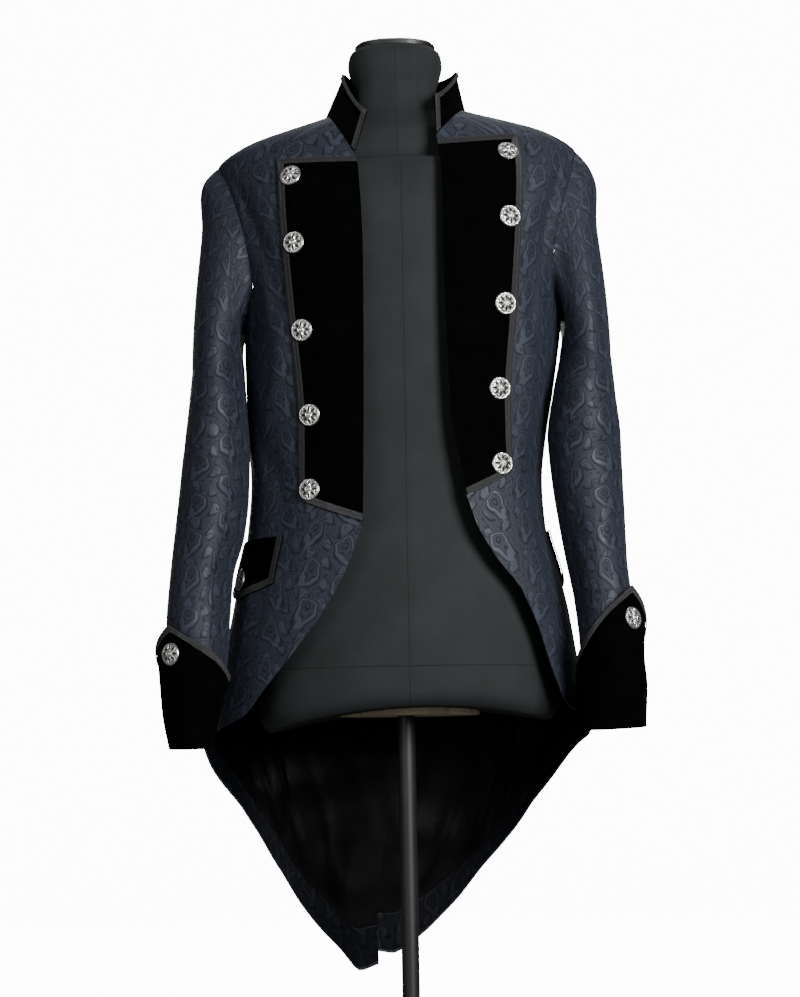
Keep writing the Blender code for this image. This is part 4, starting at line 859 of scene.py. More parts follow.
    def side_grid(self) -> Array:
        """The side front, from the princess seam to the side seam and the armhole.

        Returns:
            Angles and heights.
        """
        half = SEAM / 2
        left = self.nudge(self.princess, half)
        right = np.concatenate([self.nudge(self.side_seam, -half), armhole("front")[1:]])
        top = self.nudge(shoulder_line()[SHOULDER_COLUMNS:], -half)
        top[:, 0] = np.pi / 2 - half / SHOULDER_RADIUS
        right[-1] = top[-1]
        top[0, 1] -= half
        left[-1] = top[0]
        bottom = self.even(cut_hem(self.hem, self.princess[0, 0], np.pi / 2), SIDE_COLUMNS)
        bottom[0], bottom[-1] = left[0], right[0]
        return patch(bottom, top, left, right, 2)

    def back_grid(self) -> Array:
        """The back with its tail, from the vent to the side seam and the armhole.

        Returns:
            Angles and heights.
        """
        half, hem = SEAM / 2, self.hem
        right = np.concatenate([self.nudge(self.side_seam, half), armhole("back")[1:]])
        neck = np.linspace(np.pi - half / NECK_RADIUS, np.pi / 2 + half / NECK_RADIUS, NECK_COLUMNS + 1)
        ridge = shoulder_line()
        ridge[:, 0] += half / SHOULDER_RADIUS
        top = np.concatenate([np.stack([neck, np.full(neck.shape, NECK_POINT)], axis=1), ridge[1:]])
        right[-1] = top[-1]
        rise = np.sin(np.linspace(0, np.pi / 2, ARM_ROWS + 1))[1:]
        heights = np.concatenate([np.linspace(hem[-1, 1], UNDERARM, LOW_ROWS + 1),
                                  UNDERARM + (NECK_POINT - UNDERARM) * rise])
        gap = VENT("across", heights)
        vent = np.stack([angle_for("reach", gap, heights, True), heights], axis=1)
        vent[0], vent[-1] = hem[-1], top[0]
        bottom = self.even(cut_hem(hem, np.pi / 2, hem[-1, 0])[::-1], len(top) - 1)
        bottom[0], bottom[-1] = vent[0], right[0]
        return patch(bottom, top, vent, right, 4)


class Finish(Enum):
    """The part's finishes; each value is the record's material slot."""

    BROCADE = "brocade"
    VELVET = "velvet"
    BRAID = "braid"
    SATIN = "satin"
    SILVER = "silver"
    FORM = "form_cloth"
    BOARD = "board"
    STAND = "stand"


def grid_faces(rows: int, spans: int, layer: int, flip: bool) -> Array:
    """Quads of one grid layer, as (layer, row, column) of their corners.

    Args:
        rows: rows of points.
        spans: quads along a row.
        layer: which grid.
        flip: True to turn them over.

    Returns:
        An array of shape (quads, 4, 3).
    """
    i, j = (a.ravel() for a in np.meshgrid(np.arange(rows - 1), np.arange(spans), indexing="ij"))
    corners = [np.stack([np.full(i.shape, layer), i + di, j + dj], 1)
               for di, dj in ((0, 0), (0, 1), (1, 1), (1, 0))]
    return np.stack(corners[::-1] if flip else corners, axis=1)


class Wardrobe:
    """Makes pieces as meshes that ride on the CAD body and stand for CAD nodes."""

    def __init__(self, materials: dict[Finish, bpy.types.Material], facing: bpy.types.Material) -> None:
        """Keeps the materials.

        Args:
            materials: one for each finish.
            facing: a darker copy of the brocade, painted shade for the shadow inside the tail, which the tail's
                facing wears.
        """
        self.materials, self.facing = materials, facing

    def build(self, node: str, layers: Sequence[Array], corners: Array, uv: Array, finish: Finish,
              shade: Array | None = None) -> bpy.types.Object:
        """One mesh from stacked grids of points, named for its node and its finish.

        Args:
            node: the CAD node that it stands for.
            layers: grids of points, all of one shape.
            corners: quads as (layer, row, column).
            uv: cloth coordinates of the grid, its columns perhaps one more than the points'.
            finish: its finish.
            shade: a number for each point of one layer, kept as the attribute "shade".

        Returns:
            The object.
        """
        rows, columns = layers[0].shape[:2]
        index = (corners[..., 0] * rows + corners[..., 1]) * columns + corners[..., 2] % columns
        mesh = bpy.data.meshes.new(node)
        mesh.from_pydata(np.concatenate([g.reshape(-1, 3) for g in layers]).tolist(), [], index.tolist())
        places = uv[corners[..., 1], corners[..., 2]]
        layer = mesh.uv_layers.new(name="cloth")
        layer.data.foreach_set("uv", places.astype(np.float32).ravel())
        if shade is not None:
            attribute = mesh.attributes.new("shade", "FLOAT", "POINT")
            attribute.data.foreach_set("value", np.tile(shade.ravel(), len(layers)).astype(np.float32))
        mesh.materials.append(self.materials[finish])
        mesh.shade_smooth()
        mesh.set_sharp_from_angle(angle=0.9)
        piece = bpy.data.objects.new(f"{node}.{finish.value}", mesh)
        bpy.context.scene.collection.objects.link(piece)
        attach(piece, "root")
        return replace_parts(piece, node)

    def wall(self, node: str, cloth: Cloth, thick: float, finish: Finish, closed: bool = False,
             uv: Array | None = None) -> bpy.types.Object:
        """A wall of cloth: the outer grid, the same grid moved in, and quads along its edges.

        Args:
            node: the CAD node that it stands for.
            cloth: its outer face.
            thick: its thickness.
            finish: its finish.
            closed: True for a tube.
            uv: cloth coordinates, where they aren't the cloth's own.

        Returns:
            The object.
        """
        rows, columns = cloth.points.shape[:2]
        layers = [cloth.points, cloth.points - cloth.normals * thick]
        spans = columns if closed else columns - 1
        uv = (cloth.wrapped() if closed else cloth).uv() if uv is None else uv
        corner = cloth.points[:-1, :-1]
        turned = np.cross(cloth.points[:-1, 1:] - corner, cloth.points[1:, :-1] - corner)
        flip = bool((turned * cloth.normals[:-1, :-1]).sum() < 0)
        parts = [grid_faces(rows, spans, 0, flip), grid_faces(rows, spans, 1, not flip)]
        j, i = np.arange(spans), np.arange(rows - 1)
        edges = [(np.zeros_like(j), j, 0 * j, j + 1, False), (0 * j + rows - 1, j, 0 * j + rows - 1, j + 1, True)]
        if not closed:
            edges += [(i, 0 * i, i + 1, 0 * i, True), (i, 0 * i + columns - 1, i + 1, 0 * i + columns - 1, False)]
        for r0, c0, r1, c1, other in edges:
            quad = [(0, r1, c1), (0, r0, c0), (1, r0, c0), (1, r1, c1)]
            quad = quad[::-1] if other != flip else quad
            parts.append(np.stack([np.stack([0 * r + k, r, c], 1) for k, r, c in quad], axis=1))
        return self.build(node, layers, np.concatenate(parts), uv, finish)

    def shell(self, node: str, rings: Array, finish: Finish, uv: Array | None = None,
              shade: Array | None = None) -> bpy.types.Object:
        """A closed body through rings of points, whose first and last rings are single places.

        Args:
            node: the CAD node that it stands for.
            rings: rows of points, from the bottom up.
            finish: its finish.
            uv: cloth coordinates with one more column, where they aren't the rings' own.
            shade: a number for each point.

        Returns:
            The object.
        """
        cloth = Cloth(rings, rings)
        wide = np.roll(rings, -1, 1) - rings
        turned = np.cross(wide[:-1], rings[1:] - rings[:-1])
        centre = rings.mean(axis=(0, 1))
        flip = bool((turned * (rings[:-1] - centre)).sum() < 0)
        corners = grid_faces(len(rings), rings.shape[1], 0, flip)
        return self.build(node, [rings], corners, cloth.wrapped().uv() if uv is None else uv, finish, shade)

    def braid(self, node: str, cloth: Cloth, places: Sequence[tuple[float, float]],
              inwards: Sequence[tuple[int, int]], lift: float = BRAID_GAP) -> bpy.types.Object:
        """A ribbed braid along straight legs of a grid, mitred at their corners.

        The outer edge runs through the places. The inner edge lies one width inwards, and stops one
        width short of each corner. Across its width the braid has two raised cords.

        Args:
            node: the CAD node that it stands for.
            cloth: what it is sewn to.
            places: column and row of each corner.
            inwards: which way its width goes on each leg.
            lift: gap under it.

        Returns:
            The object.
        """
        edge, inner, run, total = [], [], [], 0.0
        last = len(inwards) - 1
        for k, ((c0, r0), (c1, r1), (side, rise)) in enumerate(zip(places, places[1:], inwards)):
            t = np.linspace(0, 1, 61)
            length = np.concatenate([[0], np.cumsum(np.linalg.norm(
                np.diff(cloth.at(c0 + (c1 - c0) * t, r0 + (r1 - r0) * t), axis=0), axis=1))])
            at = np.linspace(0, length[-1], max(2, int(length[-1] / 0.004)) + 1)
            start, end = (BRAID_WIDE if k > 0 else 0.0), (BRAID_WIDE if k < last else 0.0)
            shares = [np.interp(x, length, t) for x in (at, np.clip(at, start, length[-1] - end))]
            outer, inside = ([c0 + (c1 - c0) * s, r0 + (r1 - r0) * s] for s in shares)
            edge.append(outer)
            inner.append(cloth.inward(*inside, side, rise, BRAID_WIDE))
            run.append(total + at)
            total += length[-1]
        edge, inner = (np.concatenate(x, axis=1) for x in (edge, inner))
        return self.strip(node, cloth, edge, inner, np.concatenate(run), lift)

    def strip(self, node: str, cloth: Cloth, edge: Array, inner: Array, run: Array, lift: float,
              closed: bool = False) -> bpy.types.Object:
        """The braid between two edges: thick times (0.62 + 0.38 sin2(2 pi v)) high, v across it.

        Args:
            node: the CAD node that it stands for.
            cloth: what it is sewn to.
            edge: columns and rows of its outer edge.
            inner: those of its inner edge.
            run: its length at each place.
            lift: gap under it.
            closed: True for a ring.

        Returns:
            The object.
        """
        v = np.linspace(0, 1, 13)[:, None]
        high = lift + BRAID_THICK * (0.62 + 0.38 * np.sin(2 * np.pi * v) ** 2)
        across, along = (a + (b - a) * v for a, b in zip(edge, inner))
        top = cloth.cut(across, along, high + 0 * across)
        uv = np.stack(np.broadcast_arrays(run, v * BRAID_WIDE), axis=-1)
        if closed:
            uv = np.concatenate([uv, uv[:, -1:] + [run[1] - run[0], 0]], axis=1)
        return self.wall(node, top, BRAID_THICK * 0.6, Finish.BRAID, closed, uv)

    def button(self, node: str, cloth: Cloth, across: float, along: float, lift: float) -> bpy.types.Object:
        """A domed openwork button in silver, eight petals round a boss.

        Height over the dome: a ridge round each of eight long openings, a boss, a beaded rim with a
        groove inside it, and eight small openings between. The openings aren't cut through: their depth is the
        shade, which the silver paints black as painted shade.

        Args:
            node: the CAD node that it stands for.
            cloth: what it is sewn to.
            across: its column.
            along: its row.
            lift: gap under it.

        Returns:
            The object.
        """
        here, beyond = (cloth.at(across, along, lift + SEAM + more) for more in (0.0, 1.0))
        normal = (beyond - here) / np.linalg.norm(beyond - here)
        side = np.cross(normal, (0.0, 0.0, 1.0))
        side /= np.linalg.norm(side)
        turn = np.linspace(0, 2 * np.pi, 96, endpoint=False)[None, :]
        r = np.concatenate([np.linspace(0, 0.985, 40), [1.0]])[:, None]
        leaf = (turn * 8 / (2 * np.pi) + 0.5) % 1 - 0.5
        gap = (turn * 8 / (2 * np.pi)) % 1 - 0.5
        wide = 2 * np.pi * r / 8
        petal = np.hypot(leaf * wide / 0.105, (r - 0.56) / 0.22)
        small = np.hypot(gap * wide / 0.055, (r - 0.76) / 0.060)
        hole = np.clip(1.15 - petal, 0, 0.6) / 0.6 + np.clip(1.1 - small, 0, 0.5) / 0.5
        hole = np.clip(hole, 0, 1)
        ridge = np.exp(-((petal - 1.45) / 0.22) ** 2) + np.exp(-((small - 1.6) / 0.3) ** 2)
        rim = np.exp(-((r - 0.925) / 0.035) ** 2) * (0.75 + 0.25 * np.cos(turn * 32))
        boss = np.exp(-(r / 0.15) ** 4) + 0.5 * np.exp(-((r - 0.27) / 0.035) ** 2)
        shape = 0.80 * (1 - 0.72 * r ** 2) + 0.10 * ridge + 0.16 * rim + 0.20 * boss - 0.30 * hole
        shape = shape * (1 - ease(0.96, 1.0, r)) + 0.12 * ease(0.96, 1.0, r)
        circle = np.cos(turn)[..., None] * side + np.sin(turn)[..., None] * np.cross(side, normal)
        top = (r * BUTTON_RADIUS)[..., None] * circle
        points = here + top + (shape * BUTTON_DOME)[..., None] * normal
        base = here + 0.9 * top[-1:]
        rings = np.concatenate([points, base, np.broadcast_to(here, base.shape)])
        # the openings' shade, which the silver paints black as painted shade for the dark seen through them
        opening_shade = np.concatenate([hole + 0 * turn, np.zeros((2, turn.size))])
        return self.shell(node, rings, Finish.SILVER, shade=opening_shade)


class Coat:
    """Every cloth piece of the coat, with its trimmings."""

    def __init__(self, maker: Wardrobe, halves: Sequence[HalfCoat]) -> None:
        """Args:
            maker: makes meshes.
            halves: the coat's two halves.
        """
        self.maker, self.halves = maker, halves
        for half in halves:
            self.panels(half)
            self.lapel(half)
            self.flap(half)
            self.tail_inside(half)
            tube = self.sleeve(half)
            self.cuff(half, tube)
        self.collar()

    def panels(self, half: HalfCoat) -> None:
        """Front, side front and back.

        Args:
            half: the half.
        """
        name = half.side.name
        for part in ("front", "side_front", "back"):
            cloth: Cloth = getattr(half, part)
            piece = self.maker.wall(f"{part}_{name}", cloth, CLOTH, Finish.BROCADE)
            declare(cloth)

    def lapel(self, half: HalfCoat) -> None:
        """The velvet revers on a front panel, its braid and its buttons.

        Args:
            half: the half.
        """
        side, front = half.side, half.front
        columns = NECK_COLUMNS + SHOULDER_COLUMNS
        along = np.arange(SKIRT_ROWS, SKIRT_ROWS + LAPEL_ROWS + 1, dtype=float)[:, None]
        across = np.arange(columns + 1, dtype=float)[None, :] + 0 * along
        along = along + 0 * across
        edge, _ = front.inward(across[:, -1], along[:, -1], -1.0, 0.0, LAPEL_INSET)
        across = across * (edge / columns)[:, None]
        lapel = front.cut(across, along, SEAM + VELVET)
        piece = self.maker.wall(f"lapel_{side.name}", lapel, VELVET, Finish.VELVET)
        trims = [self.maker.braid(
            f"lapel_braid_{side.name}", lapel,
            [(0, 0), (columns, 0), (columns, LAPEL_ROWS), (0, LAPEL_ROWS)], [(0, 1), (-1, 0), (0, -1)],
        )]
        heights = lapel.points[:, -1, 2]
        for number, height in enumerate(BUTTON_HEIGHTS, 1):
            level = height + side.lift + LEAN * side.sign * BUTTON_REACH
            row = np.interp(level, heights, np.arange(LAPEL_ROWS + 1))
            column, row = lapel.inward(np.array(columns - 0.5), np.array(row), -1, 0, BUTTON_INSET)
            trims.append(self.maker.button(f"lapel_button_{side.name}_{number}", lapel, float(column),
                                           float(row), BRAID_GAP + BRAID_THICK))
        declare(lapel)

    def flap(self, half: HalfCoat) -> None:
        """A pointed pocket flap across the side seam, its braid and its button.

        Args:
            half: the half.
        """
        side, front, back = half.side, half.side_front, half.back
        low, behind = slice(0, LOW_ROWS + 1), slice(-2, -2 - FLAP_REACH, -1)
        flank = Cloth(*(np.concatenate([a[low], b[low, behind]], axis=1) for a, b in zip(front, back)))
        share = np.linspace(0, 1, FLAP_COLUMNS + 1)
        angles = np.radians(side.flap_start + FLAP_WIDE * share)
        lower = FLAP_LOW + (FLAP_POINT - FLAP_LOW) * (1 - np.abs(2 * share - 1))
        columns, rows = np.arange(flank.grid.shape[1]), np.arange(flank.grid.shape[0])
        places = []
        for up in np.linspace(0, 1, FLAP_ROWS + 1):
            for angle, height in zip(angles, lower + (FLAP_TOP - lower) * up):
                found = [np.interp(height, flank.grid[:, j, 1], flank.grid[:, j, 0]) for j in columns]
                steps = [np.interp(height, flank.grid[:, j, 1], rows) for j in columns]
                column = float(np.interp(angle, found, columns))
                places.append((column, float(np.interp(column, columns, steps))))
        across, along = np.array(places).reshape(FLAP_ROWS + 1, FLAP_COLUMNS + 1, 2).transpose(2, 0, 1)
        flap = flank.cut(across, along, FLAP_LIFT + VELVET)
        piece = self.maker.wall(f"pocket_flap_{side.name}", flap, VELVET, Finish.VELVET)
        gimp = self.maker.braid(
            f"flap_braid_{side.name}", flap,
            [(0, FLAP_ROWS), (0, 0), (FLAP_COLUMNS, 0), (FLAP_COLUMNS, FLAP_ROWS)], [(1, 0), (0, 1), (-1, 0)],
        )
        row = FLAP_BUTTON_RISE / (FLAP_TOP - FLAP_POINT) * FLAP_ROWS
        button = self.maker.button(f"flap_button_{side.name}", flap, FLAP_COLUMNS / 2, row, SEAM)
        declare(flap)

    def tail_inside(self, half: HalfCoat) -> None:
        """The satin lining of a tail with its soft folds, and the brocade facing along its hem, which wears a
        darker copy of the brocade as painted shade.

        The folds stand away from the tail: a sum of sine ridges that fade at the seams. At the vent both
        tails' normals are turned square to the width, and the linings lap over the edge by a hair.

        Args:
            half: the half.
        """
        side, back = half.side, half.back
        back.normals[:, 0, 0] = 0.0
        back.normals[:, 0] /= np.linalg.norm(back.normals[:, 0], axis=-1, keepdims=True)
        columns = back.points.shape[1]
        across = np.linspace(-VENT_LAP * FINER, columns - 1 - FLANK_INSET * FINER, columns + 20)
        for name, (first, last), finish in (("facing", FACING_ROWS, Finish.BROCADE),
                                            ("lining", LINING_ROWS, Finish.SATIN)):
            count = 9 if name == "facing" else 110
            wide, tall = np.meshgrid(across, np.linspace(first, last, count) * FINER)
            behind = -(CLOTH + SEAM)
            if finish is Finish.SATIN:
                u, v = wide / (columns - 1), (tall / FINER - first) / (last - first)
                ridges = sum(ridge.deep * np.sin(2 * np.pi * (
                    ridge.across * u + ridge.up * v + ridge.shift + ridge.apart * side.sign)) ** ridge.power
                    for ridge in LINING_RIDGES)
                behind = behind - ridges * np.sin(np.pi * np.clip(u, 0, 1)) ** 0.5 * ease(0.0, 0.12, v)
            cloth = back.cut(wide, tall, behind)
            piece = self.maker.wall(f"tail_{name}_{side.name}", cloth, SATIN, finish)
            if name == "facing":
                # the facing wears the darker brocade: painted shade for the shadow inside the tail
                piece.data.materials[0] = self.maker.facing
            declare(cloth)

    def sleeve(self, half: HalfCoat) -> Cloth:
        """Top and under sleeve: a Hermite head from the armhole to the first section, then sections.

        Args:
            half: the half.

        Returns:
            The whole sleeve's outer face as a closed tube.
        """
        side = half.side
        loop = half.surface(*np.concatenate([armhole("front"), armhole("back")[::-1][1:-1]]).T)
        loop = loop + np.array([side.sign * HEAD_START, 0.0, 0.0])
        count = 2 * ARM_ROWS
        turn = np.linspace(0, 2 * np.pi, count, endpoint=False)[None, :]
        height = np.linspace(SLEEVE_TOP, SLEEVE_END, SLEEVE_ROWS + 1)[:, None]
        inner, outer, deep, centre = (
            SLEEVES[side.name](name, height) for name in ("inner", "outer", "deep", "middle"))
        middle, wide = (outer + inner) / 2, (outer - inner) / 2
        relief = fold_relief(SLEEVE_FOLDS + ARM_FOLDS[side.name], turn, height, SLEEVE_RADIUS)
        x = side.sign * (middle - (wide + relief) * np.cos(turn))
        y = centre - (deep + relief) * np.sin(turn)
        tube = settle(np.stack([x, y, height + 0 * turn], axis=-1), steady=True)
        span = np.linalg.norm(tube[0] - loop, axis=1, keepdims=True)
        leave = np.array([side.sign * HEAD_SPRING, 0.0, 0.0]) * (HEAD_LEAST + span / span.max())
        leave = leave - np.array([0.0, 0.0, HEAD_SINK])
        arrive = np.array(HEAD_ARRIVE) * span
        t = np.linspace(0, 1, HEAD_ROWS + 1)[:-1, None, None]
        head = ((2 * t ** 3 - 3 * t ** 2 + 1) * loop + (t ** 3 - 2 * t ** 2 + t) * leave
                + (3 * t ** 2 - 2 * t ** 3) * tube[0] + (t ** 3 - t ** 2) * arrive)
        pad = np.exp(-((head[..., 2] - HEAD_PAD_AT) / HEAD_PAD_TALL) ** 2) * ease(0, HEAD_PAD_START, t[..., 0])
        head[..., 0] += side.sign * HEAD_PAD * pad
        share = turn[0, :, None] / (2 * np.pi)
        pull = sum(deep * np.exp(-((share - at) / HEAD_FOLD_WIDE) ** 2)
                   * np.sin(np.pi * np.clip(t / reach, 0, 1)) ** 1.5
                   for at, reach, deep in HEAD_FOLDS)
        rough = with_normals(np.concatenate([head, tube]), closed=True)
        head = head + rough.normals[:HEAD_ROWS] * pull
        sleeve = with_normals(np.concatenate([head, tube]), closed=True)
        twice = sleeve.wrapped(2)
        rows = np.arange(sleeve.points.shape[0], dtype=float)[:, None]
        for name, first, last in (("sleeve_top", FRONT_SEAM, count - FRONT_SEAM),
                                  ("sleeve_under", count - FRONT_SEAM, count + FRONT_SEAM)):
            across = np.arange(first, last + 1, dtype=float)[None, :] + 0 * rows
            along = rows + 0 * across
            across[:, 0] = twice.inward(across[:, 0], along[:, 0], 1, 0, SEAM)[0]
            across[:, -1] = twice.inward(across[:, -1], along[:, -1], -1, 0, SEAM)[0]
            cloth = twice.cut(across, along)
            piece = self.maker.wall(f"{name}_{side.name}", cloth, CLOTH, Finish.BROCADE)
            declare(cloth)
        return sleeve

    def cuff(self, half: HalfCoat, tube: Cloth) -> None:
        """The turned-back velvet cuff: its rim rises to a point, and it flares from its fold.

        Args:
            half: the half.
            tube: the sleeve.
        """
        side, count = half.side, 2 * ARM_ROWS
        turn = np.arange(count) * 2 * np.pi / count
        apart = np.abs((turn - np.radians(CUFF_POINT_TURN) + np.pi) % (2 * np.pi) - np.pi) / np.pi
        point = np.clip(1 - apart / CUFF_POINT_WIDE, 0, 1) ** CUFF_POINT_CURVE
        rim = CUFF_LOW + (side.cuff_point - CUFF_LOW) * point
        share = np.linspace(0, 1, CUFF_ROWS + 1)[:, None]
        level = CUFF_BOTTOM + (rim[None, :] - CUFF_BOTTOM) * share
        along = HEAD_ROWS + (SLEEVE_TOP - level) / (SLEEVE_TOP - SLEEVE_END) * SLEEVE_ROWS
        across = np.arange(count, dtype=float)[None, :] + 0 * share
        outward = CUFF_OUTWARD[0] - CUFF_OUTWARD[1] * np.cos(turn)[None, :]
        flare = CUFF_FLARE * outward * (level - CUFF_BOTTOM) / (CUFF_LOW - CUFF_BOTTOM)
        sag = CUFF_SAG * np.sin(3 * turn + 1.0 + side.sign)[None, :] * np.sin(np.pi * share)
        points = tube.wrapped().at(across, along, CUFF_SEAT + VELVET + flare + np.maximum(sag, -SEAM))
        cuff = with_normals(points[::-1], closed=True)
        piece = self.maker.wall(f"cuff_{side.name}", cuff, VELVET, Finish.VELVET, closed=True)
        loop = cuff.wrapped()
        columns, top = np.arange(count, dtype=float), np.zeros(count)
        inner = loop.inward(columns, top + 0.5, 0, 1, BRAID_WIDE)
        run = np.concatenate([[0], np.cumsum(np.linalg.norm(np.diff(loop.points[0], axis=0), axis=1))])[:-1]
        gimp = self.maker.strip(f"cuff_braid_{side.name}", loop, np.stack([columns, top]),
                                np.stack([inner[0], inner[1] - 0.5]), run, BRAID_GAP, closed=True)
        place = np.radians(CUFF_POINT_TURN) / (2 * np.pi) * count
        button = self.maker.button(f"cuff_button_{side.name}", loop, place, CUFF_BUTTON * CUFF_ROWS, 2 * SEAM)
        declare(cuff.wrapped())

    def collar(self) -> None:
        """The velvet stand, open at the front, straight between the neckline and its top, with its braid."""
        loops = []
        for half in self.halves:
            front = half.front.points[-1, :NECK_COLUMNS + 1]
            back = half.back.points[-1, :NECK_COLUMNS + 1][::-1]
            loops.append(np.concatenate([front[:-1], [(front[-1] + back[0]) / 2], back[1:]]))
        right, left = loops
        base = np.concatenate([right[:-1], [(right[-1] + left[-1]) / 2], left[:-1][::-1]])
        base = base + np.array([0.0, 0.0, COLLAR_BASE])
        share = np.linspace(-1, 1, len(base))
        turn = np.pi - (np.pi - np.radians(COLLAR_OPENING)) * np.abs(share)
        corner = np.where(share < 0, RIGHT.collar_corner, LEFT.collar_corner)
        top = np.stack([
            np.sign(share) * COLLAR_WIDE * np.sin(turn) + COLLAR_DRIFT,
            -np.where(np.cos(turn) > 0, COLLAR_FRONT, COLLAR_BACK) * np.cos(turn),
            corner + (COLLAR_TOP - corner) * ease(*COLLAR_CORNER, turn),
        ], axis=1)
        rows = np.linspace(0, 1, COLLAR_ROWS + 1)[:, None, None]
        collar = with_normals(base[None] * (1 - rows) + top[None] * rows)
        piece = self.maker.wall("collar", collar, VELVET, Finish.VELVET)
        last, end = COLLAR_ROWS, len(base) - 1
        gimp = self.maker.braid("collar_braid", collar, [(0, 0), (0, last), (end, last), (end, 0)],
                                [(1, 0), (0, -1), (-1, 0)], COLLAR_BRAID_GAP)
        declare(collar)


def declare(cloth: Cloth) -> None:
    """Adds up the area of a piece's outer face, and keeps nothing.

    Args:
        cloth: its outer face.
    """
    a, b, c = cloth.points[:-1, :-1], cloth.points[:-1, 1:], cloth.points[1:, :-1]
    area = float(np.linalg.norm(np.cross(b - a, c - a), axis=-1).sum())


class Stand:
    """The limbless form, its cap and board, and the pole and foot that carry it."""

    def __init__(self, maker: Wardrobe, halves: list[HalfCoat]) -> None:
        """Makes the pieces.

        Args:
            maker: makes meshes.
            halves: the coat's halves, which the form's shoulders follow.
        """
        self.turn = np.linspace(0, 2 * np.pi, 96, endpoint=False)
        tip = settle(np.array([[0.0, 0.0, FORM_LOW]]), steady=True)
        rings = [settle(self.level(FORM, FORM_LOW, share), steady=True) for share in np.linspace(0.1, 0.9, 9)]
        rings += [settle(self.level(FORM, h), steady=True) for h in np.linspace(FORM_LOW, FORM_HIGH, FORM_RINGS)]
        rings += [self.resting(halves, h) for h in np.interp(np.linspace(0, 4, RESTING_RINGS), range(5), RESTING)]
        rings += [self.level(NECK, h) for h in np.linspace(NECK_LOW, NECK_HIGH, NECK_RINGS)]
        points = np.array([0 * rings[0] + tip, *rings, 0 * rings[0] + rings[-1].mean(axis=0)])
        u = np.append(np.where(self.turn > np.pi, self.turn - 2 * np.pi, self.turn), 0.0) * COAT_RADIUS
        uv = np.stack(np.broadcast_arrays(u, np.append(points, points[:, :1], axis=1)[..., 2]), axis=-1)
        torso = maker.shell("form_torso", points, Finish.FORM, uv)
        low = NECK_HIGH + SEAM
        cap = [(low + rise, share) for rise, share in CAP]
        top = self.level(NECK, NECK_HIGH)
        rings = [np.append(top[:, :2] * share, 0 * top[:, :1] + height, axis=1) for height, share in cap]
        maker.shell("form_neck_cap", np.array(rings), Finish.STAND)
        under = float(tip[0, 2]) - 2 * SEAM - BOARD_THICK
        rims = [settle(self.level(FORM, FORM_LOW, BOARD_SHARE * share), steady=True)
                for share in np.linspace(0, 1, 9)]
        lower = [ring * (share, share, 0) + (0, 0, under + rise) for ring, share, rise in
                 ((rims[0], 1, 0.0), (rims[-1], 0.99, 0.0), (rims[-1], 1, 0.0008))]
        maker.shell("form_board", np.array(lower + [rim - (0, 0, 2 * SEAM) for rim in rims[::-1]]), Finish.BOARD)
        pole_top = under - SEAM
        pole = ((0.0, POLE_LOW), (POLE_RADIUS, POLE_LOW), (POLE_RADIUS, pole_top), (0.0, pole_top))
        maker.shell("stand_pole", lathe(pole), Finish.STAND)
        maker.shell("stand_foot", lathe(FOOT), Finish.STAND)

    def level(self, table: Table, height: float, share: float = 1.0) -> Array:
        """A ring of a table, level but for the lower rim: that falls as the square of the way from its middle.

        Args:
            table: its sizes.
            height: where.
            share: its size against the table's.

        Returns:
            Points.
        """
        x, y = section(self.turn, *(share * table(name, height) for name in ("half_width", "front", "back")))
        arch = RIM_DROP * (x / RIM_WIDE) ** 2 * (1 - ease(*RIM_FADE, height))
        return np.stack([x, y, height - arch], axis=1)

    def resting(self, halves: list[HalfCoat], height: float) -> Array:
        """A ring that lies just under the coat's shoulders.

        Args:
            halves: the coat's halves.
            height: where.

        Returns:
            Points.
        """
        right = self.turn > np.pi
        angle = np.where(right, 2 * np.pi - self.turn, self.turn)
        grid = np.stack([angle, np.full(angle.shape, height)], axis=1)[None]
        depth = CLOTH + REST + SLACK * (1 - ease(SHOULDER_TIP, SLACK_END, height))
        depth = depth + THROAT * (1 - ease(0.5, 1.05, angle))[:, None]
        rings = []
        for half in halves:
            cloth = half.cloth(grid)
            rings.append(cloth.points[0] - cloth.normals[0] * depth)
        return np.where(right[:, None], rings[0], rings[1])


class Value:
    """A shader socket that can be added to, multiplied and so on."""

    def __init__(self, graph: Graph, out: bpy.types.NodeSocket) -> None:
        """Keeps the socket.

        Args:
            graph: where it belongs.
            out: the socket.
        """
        self.graph, self.out = graph, out

    def do(self, operation: str, *others: Value | float) -> Value:
        """A Math node with this as its first value.

        Args:
            operation: the node's operation.
            others: its other values.

        Returns:
            The result.
        """
        return self.graph.add("ShaderNodeMath", [self, *others], operation=operation)

    def __add__(self, other: Value | float) -> Value:
        return self.do("ADD", other)

    def __sub__(self, other: Value | float) -> Value:
        return self.do("SUBTRACT", other)

    def __mul__(self, other: Value | float) -> Value:
        return self.do("MULTIPLY", other)

    def __truediv__(self, other: Value | float) -> Value:
        return self.do("DIVIDE", other)

    def step(self, low: float, high: float) -> Value:
        """A smooth step from 0 at low to 1 at high; high may be the lower.

        Args:
            low: where it is 0.
            high: where it is 1.

        Returns:
            The share.
        """
        return self.graph.add("ShaderNodeMapRange", [self, low, high], interpolation_type="SMOOTHSTEP")

    def line(self, place: float, half: float) -> Value:
        """1 on a thin line where the value is at a place, 0 beside it.

        Args:
            place: the value on the line.
            half: half its width, in the value's own measure.

        Returns:
            The share.
        """
        return (self - place).do("ABSOLUTE").step(half, half * 0.35)


